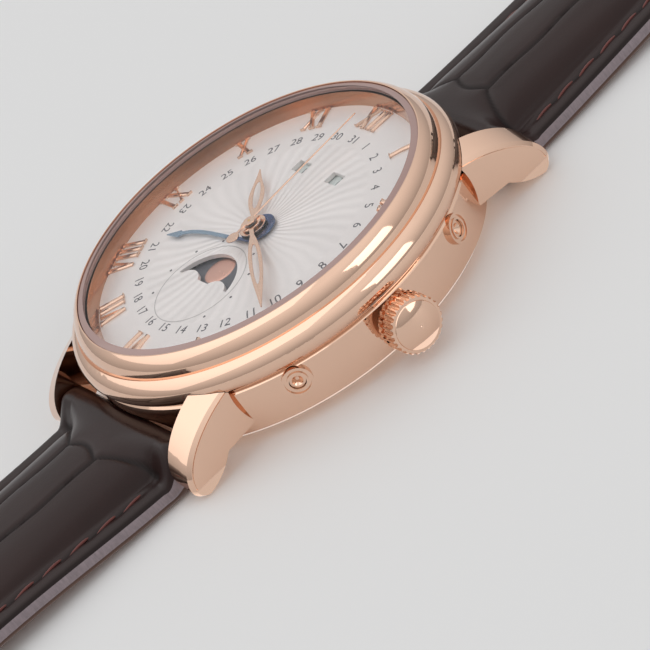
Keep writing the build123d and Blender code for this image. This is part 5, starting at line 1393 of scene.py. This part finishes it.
class WATCH_OT_keepers(Operator):
    """Makes the fixed and the free strap keeper as creased leather loops."""
    bl_idname = "watch.keepers"
    bl_label = "Keepers"

    def execute(self, context):
        wall = 0.95
        for node, body in (("fixed_keeper", "buckle_half"), ("free_keeper", "free_keeper")):
            low, high = (np.array(corner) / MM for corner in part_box(node))
            grid = self.loop_grid(low, high, wall)
            keeper = add_grid(node + "_loop", grid, wrap_rows=True, wrap_columns=True, sharp=60)
            dress(keeper, FINISHES["leather"], body=body, slot="alligator")
            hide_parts(node)
        return {"FINISHED"}

    def rounded_path(self, half_x, half_z, corner):
        """Points and outward normals round a rectangle with round corners, corner by corner."""
        corner_steps, long_steps, short_steps = 10, 26, 10
        centres = [(half_x - corner, half_z - corner), (-half_x + corner, half_z - corner),
                   (-half_x + corner, -half_z + corner), (half_x - corner, -half_z + corner)]
        path, normals = [], []
        for index, centre in enumerate(np.array(centres)):
            bend = np.radians(np.linspace(index * 90, index * 90 + 90, corner_steps))
            way = np.column_stack([np.cos(bend), np.sin(bend)])
            start = centre + corner * way[-1]
            end = centres[(index + 1) % 4] + corner * way[-1]
            share = np.linspace(0, 1, long_steps if index % 2 == 0 else short_steps)[1:-1, None]
            path += [centre + corner * way, start + (end - start) * share]
            normals += [way, np.repeat(way[-1:], len(share), axis=0)]
        return np.concatenate(path), np.concatenate(normals)

    def loop_grid(self, low, high, wall):
        """Grid of a flat band carried round a rounded rectangle: path point plus outward offset, and width
        along Y. The band's section is a squared-off oval with a crease pressed along both its edges."""
        corner, squareness = 1.1, 0.35
        crease_depth, crease_inset, crease_width = 0.12, 0.9, 0.18
        half_x, half_z = (high[0] - low[0]) / 2 - wall / 2, (high[2] - low[2]) / 2 - wall / 2
        path, normals = self.rounded_path(half_x, half_z, corner)
        width = (high[1] - low[1]) / 2
        turn = np.linspace(0, 2 * math.pi, 40, endpoint=False)
        across = width * squared_off(np.cos(turn), squareness)
        offset = wall / 2 * squared_off(np.sin(turn), squareness)
        pressed = hollow(np.abs(across) - width + crease_inset, crease_width) * (offset > 0)
        offset = offset - crease_depth * pressed
        x = path[:, :1] + normals[:, :1] * offset[None]
        z = (low[2] + high[2]) / 2 + path[:, 1:] + normals[:, 1:] * offset[None]
        y = (low[1] + high[1]) / 2 + np.broadcast_to(across[None], x.shape)
        return np.stack([x, y, z], axis=-1)


class WATCH_OT_buckle(Operator):
    """Finishes the pin buckle: polished frame, tongue with broken edges, steel bar."""
    bl_idname = "watch.buckle"
    bl_label = "Buckle"

    def execute(self, context):
        give(FINISHES["polished_gold"], "buckle_frame")
        give(FINISHES["steel"], "buckle_bar")
        tongue = finished_copy("buckle_tongue", "buckle_tongue_finished", 0.25, "buckle_tongue")
        dress(tongue, FINISHES["polished_gold"], slot="rose_gold")
        return {"FINISHED"}


class WATCH_OT_stage(Operator):
    """Lays the pale floor and sets the lamps, the room's light and the camera."""
    bl_idname = "watch.stage"
    bl_label = "Stage"

    def execute(self, context):
        settings = context.scene.watch_stage
        context.scene.view_settings.view_transform = "Standard"
        self.floor(settings)
        self.room(context, settings)
        self.lamp("key_lamp", at=(-0.35, -0.35, 1.0), size=1.8, power=settings.key_power)
        self.lamp("fill_lamp", at=(0.9, 0.5, 0.5), size=0.6, power=settings.fill_power)
        self.lamp("under_lamp", at=(0.1, -0.1, -1.0), size=1.3, power=settings.under_power)
        self.camera(context, settings)
        return {"FINISHED"}

    def floor(self, settings):
        """Pale floor that is clear from below and to light that starts where the object rests on it."""
        half, drop = settings.floor_size / 2 / MM, 0.05
        corners = [[[-half, -half, -drop], [half, -half, -drop]], [[-half, half, -drop], [half, half, -drop]]]
        floor = add_grid("floor", np.array(corners))
        material, wires, shader = new_material("pale_floor")
        shader.inputs["Base Color"].default_value = (0.86, 0.86, 0.86, 1.0)
        shader.inputs["Roughness"].default_value = 0.6
        path = wires.node("ShaderNodeLightPath")
        near = wires.math("LESS_THAN", path.outputs["Ray Length"], settings.contact)
        touching = wires.math("MULTIPLY", near, wires.math("SUBTRACT", 1.0, path.outputs["Is Camera Ray"]))
        passing = wires.math("MAXIMUM", path.outputs["Is Shadow Ray"], touching)
        below = wires.node("ShaderNodeNewGeometry").outputs["Backfacing"]
        wires.show(wires.math("MAXIMUM", below, passing), shader, wires.node("ShaderNodeBsdfTransparent"),
                   "Material Output")
        floor.data.materials.append(material)

    def room(self, context, settings):
        """Even light on the object, and a white room to camera, glass and metal; metal sees it darker at the
        horizon, by how far its ray points away from straight up or down."""
        white = (1.0, 1.0, 1.0, 1.0)
        world = bpy.data.worlds.new("pale_room")
        context.scene.world = world
        world.use_nodes = True
        wires = Wiring(world.node_tree)
        light = world.node_tree.nodes["Background"]
        light.inputs["Color"].default_value = white
        light.inputs["Strength"].default_value = settings.sky_strength
        shown = wires.node("ShaderNodeBackground")
        shown.inputs["Color"].default_value = white
        path = wires.node("ShaderNodeLightPath").outputs
        _, _, upwards = wires.parted(wires.node("ShaderNodeTexCoord").outputs["Generated"])
        fall = wires.spread(wires.math("ABSOLUTE", upwards), 0.05, 0.85, settings.horizon_fall, 0.0)
        dimmed = wires.math("MULTIPLY", path["Is Glossy Ray"], fall)
        wires.join(wires.math("SUBTRACT", 1.0, dimmed), shown.inputs["Strength"])
        seen = wires.math("MAXIMUM", path["Is Camera Ray"], path["Is Glossy Ray"])
        seen = wires.math("MAXIMUM", seen, path["Is Transmission Ray"])
        wires.show(seen, light, shown, "World Output")

    def lamp(self, name, at, size, power):
        """Square soft lamp, its place and side in metres, turned towards the watch."""
        data = bpy.data.lights.new(name, "AREA")
        data.shape = "SQUARE"
        data.size = size
        data.energy = power
        holder = link_object(name, data)
        holder.location = at
        holder.rotation_mode = "QUATERNION"
        holder.rotation_quaternion = (-Vector(at)).to_track_quat("-Z", "Y")

    def camera(self, context, settings):
        """Camera solved from the photograph: it looks back along its direction at an aim point, rolled."""
        azimuth, elevation, roll = math.radians(73.459), math.radians(29.286), math.radians(-35.425)
        distance, aim_right, aim_up, aim_height = 324.494, 4.527, -6.140, 5.25
        back = Vector((math.sin(azimuth) * math.cos(elevation), -math.cos(azimuth) * math.cos(elevation),
                       math.sin(elevation)))
        level = Vector((math.cos(azimuth), math.sin(azimuth), 0))
        upright = back.cross(level)
        right = math.cos(roll) * level + math.sin(roll) * upright
        up = -math.sin(roll) * level + math.cos(roll) * upright
        target = Vector((0, 0, aim_height)) + aim_right * right + aim_up * up
        data = bpy.data.cameras.new("photo_camera")
        data.lens = settings.lens
        data.sensor_width = 36.0
        data.clip_start, data.clip_end = 0.01, 20.0
        camera = link_object("photo_camera", data)
        turned = Matrix((right, up, back)).transposed().to_4x4()
        turned.translation = (target + back * distance) * MM
        camera.matrix_world = turned
        context.scene.camera = camera


class WATCH_PT_panel(Panel):
    """Sidebar panel with the settings and one button for each group of pieces."""
    bl_idname = "WATCH_PT_panel"
    bl_label = "Moon Phase Watch"
    bl_space_type = "VIEW_3D"
    bl_region_type = "UI"
    bl_category = "Watch"

    def draw(self, context):
        """Buttons first, then one box for each group of settings."""
        layout = self.layout
        for operator in OPERATORS:
            layout.operator(operator.bl_idname)
        for label, group in (("Dial", context.scene.watch_dial), ("Strap", context.scene.watch_strap),
                             ("Colours", context.scene.watch_colours), ("Stage", context.scene.watch_stage)):
            box = layout.box()
            box.label(text=label)
            for entry in group.bl_rna.properties:
                if entry.identifier not in ("rna_type", "name"):
                    box.prop(group, entry.identifier)


SETTINGS = {"watch_dial": WatchDialSizes, "watch_strap": WatchStrapSizes, "watch_colours": WatchColours,
            "watch_stage": WatchStageSettings}
OPERATORS = (WATCH_OT_finishes, WATCH_OT_case, WATCH_OT_crystals, WATCH_OT_dial, WATCH_OT_numerals,
             WATCH_OT_hands, WATCH_OT_calendar, WATCH_OT_movement, WATCH_OT_strap, WATCH_OT_stitching,
             WATCH_OT_keepers, WATCH_OT_buckle, WATCH_OT_stage)


def register():
    """Registers settings, operators and panel, and hangs the settings on the scene."""
    for group in SETTINGS.values():
        bpy.utils.register_class(group)
    for operator in OPERATORS:
        bpy.utils.register_class(operator)
    bpy.utils.register_class(WATCH_PT_panel)
    for name, group in SETTINGS.items():
        setattr(bpy.types.Scene, name, PointerProperty(type=group))


def unregister():
    """Takes everything that register added away again."""
    for name in SETTINGS:
        delattr(bpy.types.Scene, name)
    bpy.utils.unregister_class(WATCH_PT_panel)
    for operator in reversed(OPERATORS):
        bpy.utils.unregister_class(operator)
    for group in SETTINGS.values():
        bpy.utils.unregister_class(group)


def main():
    """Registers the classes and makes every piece."""
    register()
    bpy.ops.watch.finishes()
    bpy.ops.watch.case()
    bpy.ops.watch.crystals()
    bpy.ops.watch.dial()
    bpy.ops.watch.numerals()
    bpy.ops.watch.hands()
    bpy.ops.watch.calendar()
    bpy.ops.watch.movement()
    bpy.ops.watch.strap()
    bpy.ops.watch.stitching()
    bpy.ops.watch.keepers()
    bpy.ops.watch.buckle()
    bpy.ops.watch.stage()


if __name__ == "__main__":
    main()
